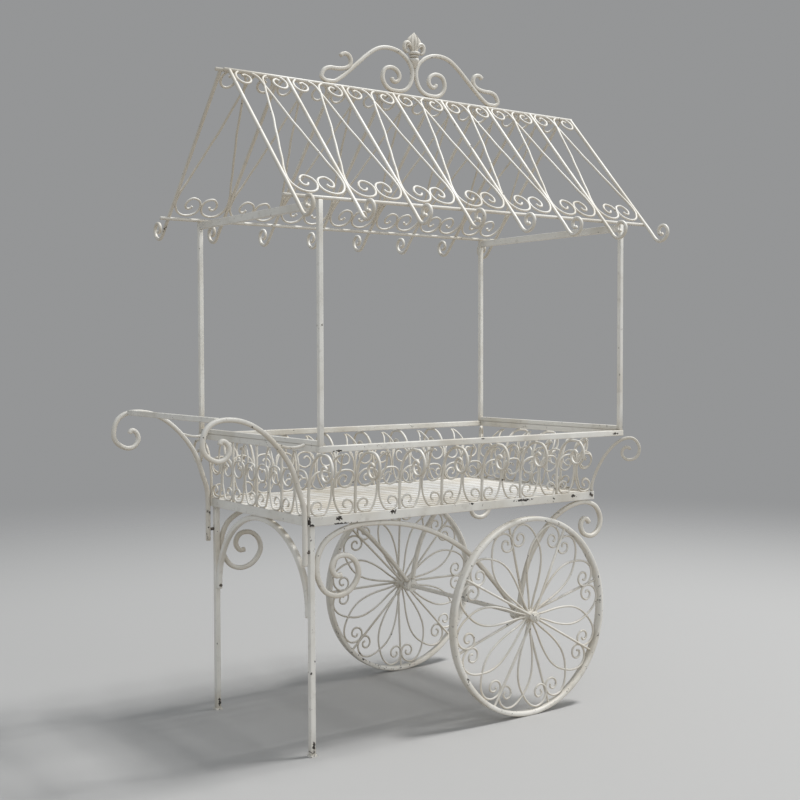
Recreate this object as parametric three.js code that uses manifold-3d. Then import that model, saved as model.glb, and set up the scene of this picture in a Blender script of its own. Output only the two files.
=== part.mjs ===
// Flower cart stand: a two-wheeled wrought iron display cart with a flared scroll gallery round a slatted
// tray, a pair of curled push handles, and four posts that carry a gable roof of scrolled iron lattice.
// Millimetres. While it is built, X runs along the cart from the handle end's posts, Y across it, Z up.
import * as THREE from 'three';
import { mergeVertices } from 'three/addons/utils/BufferGeometryUtils.js';
import Module from 'manifold-3d';

const wasm = await Module();
wasm.setup();

// ---- driving dimensions ----
const GAP = 0.3;                 // clearance between pieces that touch
const TUBE = 20;                 // square tube of the rims and the tray's rails
const POST = 16;                 // square tube of the four posts
const LEG = 18;                  // square tube of the legs
const POST_SPAN_X = 1280;        // between post centrelines, along the cart
const POST_SPAN_Y = 792;         // between post centrelines, across the cart
const POST_H = 743;              // above the rim
const TOP_RAIL_H = 25;
const LOW_RAIL_H = 16;
const DECK_WIDTH = 650;          // between the gallery lines of the two long sides
const DECK_TOP = 751;
const DECK_RAIL_H = 30;
const SLATS = 14;
const SLAT_THICK = 5;
const SLAT_GAP = 12;
const SLAT_STRIP = 22;           // strip across each end of the slats
const BEARERS = 3;
const GALLERY_H = 223;           // rim top above the deck
const BAR = 10;                  // upright gallery bars
const THIN = 7;                  // scroll bars of the gallery, roof and wheels
const SIDE_BAYS = 7;
const END_BAYS = 4;
const SCROLL_H = 141;            // top of a gallery scroll's upper loop above the deck
const NECK_START = 85;           // height at which a gallery bar starts to lean out
const NECK_CURL_R = 49;
const ROOF_BAR = 12;             // rafters, eave and ridge bars
const ROOF_RISE = 452;           // ridge top above the post tops
const RAFTERS = 8;
const ROOF_OVER_LEFT = 94;       // first rafter beyond the left posts
const ROOF_OVER_RIGHT = 120;     // last rafter beyond the right posts
const EAVE_OVERHANG = 34;
const RIDGE_OVERHANG = 19;
const TAIL_R = 38;               // curl at each rafter's tail
const CREST_HALF = 383;          // middle of the crest to the end of an arm
const CREST_H = 153;
const CREST_BAR = 15;
const FINIAL_H = 88;
const FINIAL_THICK = 14;
const WHEEL_R = 345;
const WHEEL_X = 859;             // from the left posts
const WHEEL_CLEAR = 20;          // hub to axle bracket
const WHEEL_BAND_W = 22;
const WHEEL_BAND_T = 14;
const SPOKES = 8;
const SPOKE_TURN = { near: 16, far: 0 };  // degrees from level to the first spoke, as the wheels stand
const SPOKE_BAR = 9;
const HUB_R = 19;
const FLANGE_R = 34;             // plate on the hub that the petal bars are welded to
const HUB_HALF = 30;
const AXLE_R = 8;
const BRACKET_R = 24;
const BRACKET_HALF = 14;
const LEG_INSET = 9;             // in from the deck's end
const FOOT_H = 6;
const FOOT_EDGE = 3;
const ARCH_FOOT = 432;           // height at which the leg arch starts
const ARCH_BAR = 18;
const CARRIER_BAR = 18;
const HANDLE_BAR = 17;
const HANDLE_REACH = 349;        // from the deck's end to the handles' far side
const BOLT_R = 5.5;

// ---- materials ----
const paint = (color, roughness = 0.55, metalness = 0.15) =>
  new THREE.MeshStandardMaterial({ color, roughness, metalness });
const CREAM = 0xe8e1d1;
const WHITE = 0xf2f0ea;
const SHADE = 0xd9cfba;
const STEEL = 0x8d867a;

// ---- geometry helpers ----
const rad = THREE.MathUtils.degToRad;
const v2 = (x, y) => new THREE.Vector2(x, y);

// A bar's centreline, kept exactly as the listed points, with mitred directions at the corners.
class Route extends THREE.Curve {
  constructor(points) {
    super();
    this.stops = points.map((p) => new THREE.Vector3(p.x, p.y, 0));
  }

  getPoint(t, target = new THREE.Vector3()) {
    const last = this.stops.length - 1;
    const i = Math.min(Math.floor(t * last + 1e-6), last - 1);
    return target.copy(this.stops[i]).lerp(this.stops[i + 1], t * last - i);
  }

  getPointAt(t, target) {
    return this.getPoint(t, target);
  }

  getTangentAt(t, target = new THREE.Vector3()) {
    const last = this.stops.length - 1;
    const i = Math.round(t * last);
    const before = this.stops[Math.max(i - 1, 0)];
    const here = this.stops[i];
    const after = this.stops[Math.min(i + 1, last)];
    const a = here.clone().sub(before).normalize();
    const b = after.clone().sub(here).normalize();
    return target.copy(a).add(b).normalize();
  }
}

// A bar bent in the XY plane; `wide` is its size in the plane and `deep` its size along Z.
function bentBar(points, wide, deep = wide, sides = 4) {
  const start = sides === 4 ? Math.PI / 4 : 0;
  const grow = 1 / Math.cos(Math.PI / sides);
  const corners = [];
  for (let i = 0; i < sides; i += 1) {
    const a = start + (i * 2 * Math.PI) / sides;
    corners.push(v2(Math.cos(a) * grow * deep / 2, Math.sin(a) * grow * wide / 2));
  }
  return new THREE.ExtrudeGeometry(new THREE.Shape(corners), {
    steps: points.length - 1,
    extrudePath: new Route(points),
  });
}

// A thin scroll bar: three-sided, and the same size all round.
function thinBar(points) {
  const r = THIN * 0.62;
  const corners = [0, 1, 2].map((i) => v2(r * Math.cos(rad(120 * i)), r * Math.sin(rad(120 * i))));
  return new THREE.ExtrudeGeometry(new THREE.Shape(corners), {
    steps: points.length - 1,
    extrudePath: new Route(points),
  });
}

// Points along a spiral about (cx, cy) from angle a0 to a1 in degrees; `bias` above 1 holds the outer turn.
function spiral(cx, cy, r0, r1, a0, a1, steps, bias = 1) {
  const points = [];
  for (let i = 0; i <= steps; i += 1) {
    const t = i / steps;
    const r = r0 + (r1 - r0) * t ** bias;
    const a = rad(a0 + (a1 - a0) * t);
    points.push(v2(cx + r * Math.cos(a), cy + r * Math.sin(a)));
  }
  return points;
}

// A smooth line through a few listed points, cut into steps.
function smooth(list, steps) {
  const curve = new THREE.CatmullRomCurve3(
    list.map(([x, y]) => new THREE.Vector3(x, y, 0)), false, 'centripetal');
  return curve.getPoints(steps).map((p) => v2(p.x, p.y));
}

const flipX = (points) => points.map((p) => v2(-p.x, p.y));
const shift = (points, dx, dy = 0) => points.map((p) => v2(p.x + dx, p.y + dy));

// A box between two corners.
function box(x0, x1, y0, y1, z0, z1) {
  const g = new THREE.BoxGeometry(x1 - x0, y1 - y0, z1 - z0);
  return g.translate((x0 + x1) / 2, (y0 + y1) / 2, (z0 + z1) / 2);
}

// A turned piece about the Y axis; the profile is [radius, y] and closes on itself or ends on the axis.
function turned(profile, segments = 16) {
  return new THREE.LatheGeometry(profile.map(([r, y]) => v2(r, y)), segments);
}

// Moves a geometry so that its x, y and z lie along the three given directions, from an origin.
function seat(geometry, origin, x, y, z) {
  const basis = new THREE.Matrix4().makeBasis(
    new THREE.Vector3(...x), new THREE.Vector3(...y), new THREE.Vector3(...z));
  basis.setPosition(...origin);
  return geometry.clone().applyMatrix4(basis);
}

function signedVolume(geometry) {
  const p = geometry.attributes.position;
  const index = geometry.index.array;
  const [a, b, c] = [0, 1, 2].map(() => new THREE.Vector3());
  let sum = 0;
  for (let i = 0; i < index.length; i += 3) {
    a.fromBufferAttribute(p, index[i]);
    b.fromBufferAttribute(p, index[i + 1]);
    c.fromBufferAttribute(p, index[i + 2]);
    sum += a.dot(b.cross(c)) / 6;
  }
  return sum;
}

// A geometry with shared corners and faces that point out.
function closed(geometry) {
  const g = geometry.clone();
  g.deleteAttribute('normal');
  g.deleteAttribute('uv');
  const merged = mergeVertices(g, 1e-4);
  if (signedVolume(merged) < 0) {
    const index = merged.index.array;
    for (let i = 0; i < index.length; i += 3) {
      [index[i], index[i + 1]] = [index[i + 1], index[i]];
    }
  }
  return merged;
}

function toSolid(geometry) {
  const g = closed(geometry);
  return new wasm.Manifold(new wasm.Mesh({
    numProp: 3,
    vertProperties: new Float32Array(g.attributes.position.array),
    triVerts: new Uint32Array(g.index.array),
  }));
}

function toGeometry(solid) {
  const mesh = solid.getMesh();
  const g = new THREE.BufferGeometry();
  g.setAttribute('position', new THREE.BufferAttribute(new Float32Array(mesh.vertProperties), 3));
  g.setIndex(new THREE.BufferAttribute(new Uint32Array(mesh.triVerts), 1));
  return g;
}

const weld = (geometries) => toGeometry(geometries.map(toSolid).reduce((a, b) => a.add(b)));

const cart = new THREE.Group();

function piece(name, geometry, material = paint(CREAM)) {
  const g = geometry.index && !geometry.attributes.uv ? geometry : closed(geometry);
  g.computeVertexNormals();
  const mesh = new THREE.Mesh(g, material);
  mesh.name = name;
  cart.add(mesh);
  return mesh;
}

// The two long sides: the near side faces -Y and the far side +Y.
const SIDES = [['near', -1], ['far', 1]];
// The two ends: the left end carries the handles and the right end is free.
const ENDS = [['left', 0], ['right', POST_SPAN_X]];

// ---- places that several pieces share ----
const half = TUBE / 2;
const postY = POST_SPAN_Y / 2;
const halfDeck = DECK_WIDTH / 2;
const flare = postY - halfDeck;                 // how far the rim stands out from the gallery line
const deckLength = POST_SPAN_X - flare;         // gallery line to gallery line
const deckBottom = DECK_TOP - DECK_RAIL_H;
const deckX0 = -TUBE / 4;                       // the end rails stand out past the gallery line
const deckX1 = deckLength + TUBE / 4;
const endRailY = halfDeck - half - GAP;
const rimTop = DECK_TOP + GALLERY_H;
const postTop = rimTop + POST_H;
const underLimit = deckBottom - GAP;            // what stands under the deck stops here
const underY = halfDeck - half + 1;             // centreline of the legs and carriers
const postHalf = POST / 2;
const legHalf = LEG / 2;
const legX = deckX0 + LEG_INSET + half;
const axleZ = WHEEL_R;
const wheelY = underY + BRACKET_HALF + WHEEL_CLEAR + HUB_HALF;

// ---- tray deck ----
for (const [side, s] of SIDES) {
  const y = [s * (halfDeck - half), s * (halfDeck + half)].sort((a, b) => a - b);
  piece(`deck_rail_${side}`, box(deckX0, deckX1, y[0], y[1], deckBottom, DECK_TOP));
}
piece('deck_rail_left', box(deckX0, deckX0 + TUBE, -endRailY, endRailY, deckBottom, DECK_TOP));
piece('deck_rail_right', box(deckX1 - TUBE, deckX1, -endRailY, endRailY, deckBottom, DECK_TOP));

// The slats run along the cart and are joined by a strip across each end; bearers cross beneath them.
const slatX0 = deckX0 + TUBE + GAP;
const slatX1 = deckX1 - TUBE - GAP;
const slatPitch = (2 * endRailY) / SLATS;
const slatTop = DECK_TOP - 1;
{
  const edge = SLAT_GAP / 2;
  const plate = new THREE.Shape([v2(slatX0, -endRailY), v2(slatX1, -endRailY),
    v2(slatX1, endRailY), v2(slatX0, endRailY)]);
  for (let i = 1; i < SLATS; i += 1) {
    const y = -endRailY + i * slatPitch;
    plate.holes.push(new THREE.Path([v2(slatX0 + SLAT_STRIP, y - edge), v2(slatX1 - SLAT_STRIP, y - edge),
      v2(slatX1 - SLAT_STRIP, y + edge), v2(slatX0 + SLAT_STRIP, y + edge)]));
  }
  piece('deck_slats', new THREE.ExtrudeGeometry(plate, { depth: SLAT_THICK, bevelEnabled: false })
    .translate(0, 0, slatTop - SLAT_THICK), paint(WHITE));
}
for (let i = 0; i < BEARERS; i += 1) {
  const x = slatX0 + ((i + 0.5) * (slatX1 - slatX0)) / BEARERS;
  piece(`deck_bearer_${i + 1}`, box(x - half, x + half, -endRailY, endRailY,
    deckBottom, slatTop - SLAT_THICK - GAP));
}

// ---- rim, posts and the cross rails of the two end frames ----
for (const [side, s] of SIDES) {
  const y = s * postY;
  piece(`rim_${side}`, box(-half, POST_SPAN_X + half, y - half, y + half, rimTop - TUBE, rimTop));
  for (const [end, x] of ENDS) {
    piece(`post_${side}_${end}`,
      box(x - postHalf, x + postHalf, y - postHalf, y + postHalf, rimTop + GAP, postTop));
  }
}
const crossY = postY - half - GAP;
const crossPostY = postY - postHalf - GAP;
for (const [end, x] of ENDS) {
  piece(`rim_${end}`, box(x - half, x + half, -crossY, crossY, rimTop - TUBE, rimTop));
  piece(`cross_rail_low_${end}`,
    box(x - postHalf, x + postHalf, -crossPostY, crossPostY, rimTop + GAP, rimTop + GAP + LOW_RAIL_H));
  piece(`cross_rail_top_${end}`,
    box(x - postHalf, x + postHalf, -crossPostY, crossPostY, postTop - TOP_RAIL_H, postTop));
}

// ---- gallery ----
const underRim = GALLERY_H - TUBE;              // height of the gap under the rim
const neckRise = underRim - GAP - BAR / 2 - NECK_START;
const neckReach = flare + BAR - 1;              // the bars pass under the rim's middle before they turn down

// The flared gallery's section: straight up, then a quarter ellipse out to under the rim.
function flaredSection(distance) {
  if (distance <= NECK_START) {
    return { out: 0, up: distance, tOut: 0, tUp: 1 };
  }
  const steps = 40;
  let left = distance - NECK_START;
  let out = 0;
  let up = NECK_START;
  for (let i = 1; i <= steps; i += 1) {
    const a = ((i / steps) * Math.PI) / 2;
    const nextOut = neckReach * (1 - Math.cos(a));
    const nextUp = NECK_START + neckRise * Math.sin(a);
    const length = Math.hypot(nextOut - out, nextUp - up);
    const tOut = (nextOut - out) / length;
    const tUp = (nextUp - up) / length;
    if (left <= length || i === steps) {
      return { out: out + tOut * left, up: up + tUp * left, tOut, tUp };
    }
    left -= length;
    out = nextOut;
    up = nextUp;
  }
  return { out, up, tOut: 1, tUp: 0 };
}

const uprightSection = (distance) => ({ out: 0, up: distance, tOut: 0, tUp: 1 });

// Wraps a flat piece (x, distance up the panel, thickness) on to the panel's section.
function wrapOn(section, geometry) {
  const g = geometry.clone();
  const p = g.attributes.position;
  for (let i = 0; i < p.count; i += 1) {
    const n = p.getZ(i);
    const at = section(Math.max(p.getY(i), 0));
    p.setXYZ(i, p.getX(i), at.out + n * at.tUp, at.up - n * at.tOut);
  }
  return g;
}

// One gallery scroll, drawn to the right of its bay's middle line: a small curl at the foot, a back that
// touches its twin, and a large loop above. `reach` is how far the loop's centreline stands from the middle.
function galleryScroll(reach) {
  const back = THIN * 0.4;
  const loopR = reach * 0.42;
  const loopEnd = 9;
  const loopOut = loopR - (loopR - loopEnd) * (3 / 7) ** 3;
  const loop = spiral(reach - loopOut, SCROLL_H - loopR, loopR, loopEnd, 150, -200, 7, 3);
  const footR = reach * 0.31;
  const footOut = footR - (footR - 8) * 0.4 ** 2;
  const foot = spiral(reach - footOut, footR * 0.94 + THIN * 0.7, footR, 8, 220, 570, 5, 2);
  return [
    ...foot.reverse(),
    v2(back + 5, SCROLL_H * 0.28),
    v2(back, SCROLL_H * 0.62),
    ...loop,
  ];
}

// The leaf above a scroll pair: one thin bar, up from the left scroll to a point under the rim and back.
function leafBar(top) {
  const foot = SCROLL_H * 0.76;
  const tall = top - foot;
  const right = [v2(20, foot + tall * 0.62), v2(20, foot + tall * 0.33), v2(7, foot)];
  return [...flipX(right).reverse(), v2(0, top), ...right];
}

// A swan-necked bar in its own plane (out, up): up the panel, over under the rim and down into a curl.
function swanNeck(reach) {
  const points = [v2(0, GAP), v2(0, NECK_START)];
  for (const a of [28, 52, 74]) {
    points.push(v2(reach * (1 - Math.cos(rad(a))), NECK_START + neckRise * Math.sin(rad(a))));
  }
  const centreUp = NECK_START + neckRise - NECK_CURL_R;
  return [...points, ...spiral(reach + BAR * 1.6, centreUp, NECK_CURL_R, 15, 98, -262, 6)];
}

// Lists a panel's scrolls and leaves, bay by bay, in the flat.
function panelScrolls(length, bays, leafTop, trimEnds) {
  const bay = length / bays;
  const list = [];
  for (let i = 0; i < bays; i += 1) {
    const middle = (i + 0.5) * bay;
    for (const s of [-1, 1]) {
      const atCorner = trimEnds && ((i === 0 && s < 0) || (i === bays - 1 && s > 0));
      const reach = bay / 2 - BAR / 2 - THIN / 2 - (atCorner ? 3.5 : -0.5);
      const points = galleryScroll(reach);
      list.push(thinBar(shift(s < 0 ? flipX(points) : points, middle)));
    }
    list.push(thinBar(shift(leafBar(leafTop), middle)));
  }
  return list;
}

const leafTop = NECK_START + Math.hypot(neckRise, neckReach);
const straightLeafTop = underRim - GAP - THIN * 0.62;

// Long sides: swan necks at every bay line, set square to the side except the last, which leaves the
// right-hand corner on the diagonal.
for (const [side, s] of SIDES) {
  const list = panelScrolls(deckLength, SIDE_BAYS, leafTop, false).map((g) => wrapOn(flaredSection, g));
  for (let i = 0; i < SIDE_BAYS; i += 1) {
    const neck = bentBar(swanNeck(neckReach), BAR);
    list.push(seat(neck, [(i * deckLength) / SIDE_BAYS, 0, 0], [0, 1, 0], [0, 0, 1], [1, 0, 0]));
  }
  const corner = bentBar(swanNeck(neckReach * Math.SQRT2), BAR);
  const d = Math.SQRT1_2;
  list.push(seat(corner, [deckLength, 0, 0], [d, d, 0], [0, 0, 1], [-d, d, 0]));
  const panel = weld(list);
  piece(`gallery_${side}`,
    closed(seat(panel, [0, s * halfDeck, DECK_TOP], [1, 0, 0], [0, s, 0], [0, 0, 1])));
}

// Right end: the same flared pattern between the two corner bars.
{
  const bay = DECK_WIDTH / END_BAYS;
  const list = panelScrolls(DECK_WIDTH, END_BAYS, leafTop, true).map((g) => wrapOn(flaredSection, g));
  for (let i = 1; i < END_BAYS; i += 1) {
    const neck = bentBar(swanNeck(neckReach), BAR);
    list.push(seat(neck, [i * bay, 0, 0], [0, 1, 0], [0, 0, 1], [1, 0, 0]));
  }
  piece('gallery_right',
    closed(seat(weld(list), [deckLength, -halfDeck, DECK_TOP], [0, 1, 0], [1, 0, 0], [0, 0, 1])));
}

// Left end: upright, with plain bars, because the handles pass outside it.
{
  const bay = DECK_WIDTH / END_BAYS;
  const list = panelScrolls(DECK_WIDTH, END_BAYS, straightLeafTop, true)
    .map((g) => wrapOn(uprightSection, g));
  for (let i = 1; i < END_BAYS; i += 1) {
    list.push(box(i * bay - BAR / 2, i * bay + BAR / 2, -BAR / 2, BAR / 2, GAP, underRim - GAP));
  }
  piece('gallery_left',
    closed(seat(weld(list), [0, -halfDeck, DECK_TOP], [0, 1, 0], [-1, 0, 0], [0, 0, 1])));
}

// ---- roof panels ----
const rb = ROOF_BAR;
const ridgeY = rb / 2 + GAP;
const ridgeTop = postTop + ROOF_RISE;
const ridgeZ = ridgeTop - rb / 2;
const eaveZ = postTop + GAP + rb / 2;
const rafterRun = postY - ridgeY;
const rafterEaveZ = eaveZ + rb * 0.8;
const rafterRise = ridgeZ - rafterEaveZ;
const slope = Math.hypot(rafterRun, rafterRise);
const rafterFirstX = -ROOF_OVER_LEFT;
const rafterLastX = POST_SPAN_X + ROOF_OVER_RIGHT;
const rafterPitch = (rafterLastX - rafterFirstX) / (RAFTERS - 1);
const ridgeX0 = rafterFirstX - RIDGE_OVERHANG;
const ridgeX1 = rafterLastX + rb / 2;

// A rafter in its own plane (distance up the slope, height off the slope), with the curl at its tail.
function rafterLine() {
  const tail = spiral(-TAIL_R * 2.5, TAIL_R, TAIL_R, 14, -90, -400, 6);
  return [v2(slope, 0), v2(-TAIL_R * 1.3, 0), ...tail];
}

// A bay's roof scroll, drawn so that it starts in the left-hand foot scroll, follows the left-hand rafter,
// crosses the middle near the ridge and ends in the right-hand top scroll.
function roofScroll(halfBay) {
  const reach = halfBay - rb / 2 - THIN / 2 + 0.9;
  const footR = reach * 0.57;
  const foot = spiral(-reach + footR, 52, footR, 16, 180, 610, 7, 0.8);
  const topR = reach * 0.36;
  const topY = slope - rb / 2 - THIN / 2 + 0.9 - reach * 0.43;
  const top = spiral(reach - topR, topY, reach * 0.47, 16, 140, -220, 5);
  return [
    ...foot.reverse(),
    v2(-reach * 0.98, slope * 0.17),
    v2(-reach * 0.61, slope * 0.42),
    v2(-reach * 0.23, slope * 0.7),
    v2(0, slope * 0.88),
    ...top,
  ];
}

for (const [side, s] of SIDES) {
  const dir = [0, -s * (rafterRun / slope), rafterRise / slope];
  const off = [0, s * (rafterRise / slope), rafterRun / slope];
  const origin = [0, s * postY, rafterEaveZ];
  const list = [];
  for (let i = 0; i < RAFTERS; i += 1) {
    const x = rafterFirstX + i * rafterPitch;
    list.push(seat(bentBar(rafterLine(), rb), [x, origin[1], origin[2]], dir, off, [1, 0, 0]));
    if (i < RAFTERS - 1) {
      const line = roofScroll(rafterPitch / 2);
      for (const points of [line, flipX(line)]) {
        const bar = thinBar(shift(points, x + rafterPitch / 2));
        list.push(seat(bar, origin, [1, 0, 0], dir, off));
      }
    }
  }
  const y = s * postY;
  const eaveX0 = rafterFirstX - EAVE_OVERHANG;
  list.push(box(eaveX0, ridgeX1, y - rb / 2, y + rb / 2, eaveZ - rb / 2, eaveZ + rb / 2));
  const yr = s * ridgeY;
  list.push(box(ridgeX0, ridgeX1, yr - rb / 2, yr + rb / 2, ridgeZ - rb / 2, ridgeZ + rb / 2));
  piece(`roof_panel_${side}`, weld(list));
}

// Bolts that clamp the two ridge bars, each with a head on one side and a nut on the other.
for (const [i, at] of [0.08, 0.5, 0.92].entries()) {
  const x = rafterFirstX + (rafterLastX - rafterFirstX) * at + rb;
  const strap = [box(x - 7, x + 7, -rb - GAP * 2, rb + GAP * 2, ridgeZ - rb / 2 - GAP - 4,
    ridgeZ - rb / 2 - GAP)];
  strap.push(turned([[0, -4], [4.5, -4], [4.5, 0.5], [0, 0.5]], 6).rotateX(Math.PI / 2)
    .translate(x, 0, ridgeZ - rb / 2 - GAP - 4));
  piece(`ridge_clip_${i + 1}`, weld(strap), paint(SHADE));
}

// ---- crest on the ridge ----
// Half of the crest as [distance from the centre, height above the ridge]: a small hook, a foot, the long
// arm, and the big loop that ends in a curl.
const crestHalf = [
  [-312, 96], [-291, 106], [-270, 87], [-276, 64], [-303, 54], [-353, 51], [-383, 36], [-386, 16],
  [-370, 8], [-337, 10], [-307, 26], [-245, 79], [-195, 121], [-153, 146], [-107, 153], [-62, 143],
  [-28, 121], [-7, 87], [-12, 50], [-37, 17], [-78, 8], [-116, 14], [-137, 41], [-133, 71], [-112, 86],
  [-83, 84], [-63, 65], [-70, 41], [-91, 38],
];
const crestBase = ridgeTop + GAP;
const crestX = (ridgeX0 + ridgeX1) / 2;
const socketTop = (CREST_H * 134) / 153;
{
  const line = smooth(crestHalf, 32).map((p) =>
    v2((p.x * CREST_HALF) / 386, Math.max((p.y * CREST_H) / 153, CREST_BAR / 2)));
  const list = [line, flipX(line)].map((points) =>
    seat(bentBar(points, CREST_BAR), [crestX, 0, crestBase], [1, 0, 0], [0, 0, 1], [0, 1, 0]));
  // The socket that fills the notch between the loops and carries the finial.
  const notch = (CREST_H * 96) / 153;
  list.push(turned([[0, notch], [5, notch], [15, socketTop - 12], [15, socketTop], [0, socketTop]], 8)
    .rotateX(Math.PI / 2).translate(crestX, 0, crestBase));
  piece('crest', weld(list));
}

// The finial: a three-petalled lily over a collar, cut from plate and rounded in front and behind.
{
  const base = crestBase + socketTop + GAP;
  const lily = new THREE.Shape();
  lily.moveTo(-9, 0);
  lily.lineTo(9, 0);
  lily.lineTo(12, 12);
  lily.bezierCurveTo(16, 4, 30, 2, 38, 10);
  lily.bezierCurveTo(36, 16, 30, 16, 27, 20);
  lily.bezierCurveTo(36, 20, 44, 26, 44, 36);
  lily.bezierCurveTo(42, 46, 30, 50, 21, 44);
  lily.lineTo(15, 52);
  lily.bezierCurveTo(18, 62, 10, 76, 0, 88);
  lily.bezierCurveTo(-10, 76, -18, 62, -15, 52);
  lily.lineTo(-21, 44);
  lily.bezierCurveTo(-30, 50, -42, 46, -44, 36);
  lily.bezierCurveTo(-44, 26, -36, 20, -27, 20);
  lily.bezierCurveTo(-30, 16, -36, 16, -38, 10);
  lily.bezierCurveTo(-30, 2, -16, 4, -12, 12);
  lily.closePath();
  const plate = new THREE.ExtrudeGeometry(lily, {
    depth: FINIAL_THICK - 6, curveSegments: 3, bevelEnabled: true, bevelThickness: 3, bevelSize: 2.5,
    bevelOffset: -2.5, bevelSegments: 1,
  }).translate(0, 0, 3 - FINIAL_THICK / 2).scale(FINIAL_H / 88, FINIAL_H / 88, 1);
  const body = seat(plate, [crestX, 0, base], [1, 0, 0], [0, 0, 1], [0, 1, 0]);
  const collar = turned([[0, 0], [13, 0], [15, 4], [13, 8], [0, 8]], 10).rotateX(Math.PI / 2)
    .translate(crestX, 0, base);
  piece('finial', weld([body, collar]));
}

// ---- push handles ----
// An arm in its own plane as [x, z], out from the deck's end and up from the rim's top: up beside the
// gallery, out over the end, round and into a curl.
const armX = deckX0 - GAP - HANDLE_BAR / 2;
const handleLine = [
  [-9, -374], [-9, -239], [-19, -164], [-43, -89], [-77, -34], [-117, 14], [-162, 50], [-209, 73],
  [-257, 85], [-297, 84], [-331, 68], [-351, 36], [-350, -2], [-329, -28], [-298, -37], [-272, -23],
  [-265, 3], [-280, 22], [-300, 16],
];
const onHandle = ([x, z]) => v2(deckX0 + (x * HANDLE_REACH) / 343, rimTop + z);
for (const [side, s] of SIDES) {
  const line = smooth(handleLine, 24).map((p) => {
    const at = onHandle([p.x, p.y]);
    return v2(at.y < DECK_TOP ? armX : Math.min(at.x, armX), at.y);
  });
  const foot = [-half - GAP - 4, rimTop + 1];
  const brace = [...[[-121, 18], [-93, 3], [-55, -5]].map(onHandle), v2(...foot)];
  const list = [bentBar(line, HANDLE_BAR), bentBar(brace, 8, 12)].map((g) =>
    seat(g, [0, s * halfDeck, 0], [1, 0, 0], [0, 0, 1], [0, 1, 0]));
  piece(`handle_${side}`, weld(list));
  // Spacer bolt that ties the arm's lower end to the leg.
  const x0 = armX + HANDLE_BAR / 2 + GAP;
  const x1 = legX - legHalf - GAP;
  piece(`handle_spacer_${side}`,
    turned([[0, 0], [BOLT_R, 0], [BOLT_R, x1 - x0], [0, x1 - x0]], 8).rotateZ(-Math.PI / 2)
      .translate(x0, s * (halfDeck - 5), deckBottom - 80), paint(STEEL, 0.5, 0.6));
}
const pushY = halfDeck - HANDLE_BAR / 2 - GAP;
const push = onHandle([-297, 84]);
const ph = HANDLE_BAR / 2;
piece('push_bar', box(push.x - ph, push.x + ph, -pushY, pushY, push.y - ph, push.y + ph));

// ---- legs and the arch between them ----
for (const [side, s] of SIDES) {
  const y = s * underY;
  const out = legHalf + FOOT_EDGE;
  piece(`leg_${side}`,
    box(legX - legHalf, legX + legHalf, y - legHalf, y + legHalf, FOOT_H + GAP, underLimit));
  piece(`foot_${side}`, box(legX - out, legX + out, y - out, y + out, 0, FOOT_H), paint(SHADE));
}
{
  const reach = underY - legHalf - GAP - ARCH_BAR / 2;
  const spring = ARCH_FOOT + ARCH_BAR;
  const rise = underLimit - ARCH_BAR / 2 - spring;
  const points = [v2(-reach, ARCH_FOOT)];
  for (let i = 0; i <= 16; i += 1) {
    const a = Math.PI * (1 - i / 16);
    points.push(v2(reach * Math.cos(a), spring + rise * Math.sin(a)));
  }
  points.push(v2(reach, ARCH_FOOT));
  piece('leg_arch',
    closed(seat(bentBar(points, ARCH_BAR), [legX, 0, 0], [0, 1, 0], [0, 0, 1], [1, 0, 0])));
  for (const [side, s] of SIDES) {
    const head = turned([[0, 0], [BOLT_R, 0], [BOLT_R, 5], [0, 5]], 6);
    piece(`arch_bolt_${side}`, head.rotateX(s < 0 ? 0 : Math.PI)
      .translate(legX, s * (reach - ARCH_BAR / 2 - GAP), ARCH_FOOT + ARCH_BAR * 0.7),
    paint(STEEL, 0.5, 0.6));
  }
}

// ---- axle carriers: scrolled bars from the axle brackets up to the deck ----
// The corner radius of a many-sided bore whose flats clear the axle.
const boreFor = (sides) => (AXLE_R + GAP) / Math.cos(Math.PI / sides);
const bore = boreFor(16);
// Each list is in shares: 0 to 1 along the deck from its end to the axle, and 0 to 1 up from the axle's
// height to the deck's underside. The last stretch runs straight at the axle and stops at its bracket.
const carrierLeft = [
  [0.151, 0.572], [0.123, 0.588], [0.112, 0.652], [0.132, 0.710], [0.173, 0.721], [0.213, 0.662],
  [0.225, 0.551], [0.192, 0.434], [0.138, 0.396], [0.084, 0.434], [0.048, 0.540], [0.040, 0.689],
  [0.070, 0.838], [0.131, 0.928], [0.223, 0.971], [0.312, 0.976], [0.405, 0.952], [0.505, 0.899],
  [0.609, 0.811], [0.701, 0.694], [0.793, 0.527], [0.897, 0.279], [0.955, 0.12],
];
const carrierRight = [
  [0.040, 0.800], [0.101, 0.811], [0.135, 0.737], [0.080, 0.655], [-0.030, 0.640],
  [-0.117, 0.721], [-0.135, 0.827], [-0.068, 0.934], [0.068, 0.973], [0.237, 0.960],
  [0.406, 0.907], [0.575, 0.801], [0.715, 0.657], [0.839, 0.455], [0.915, 0.25], [0.945, 0.14],
];
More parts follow.
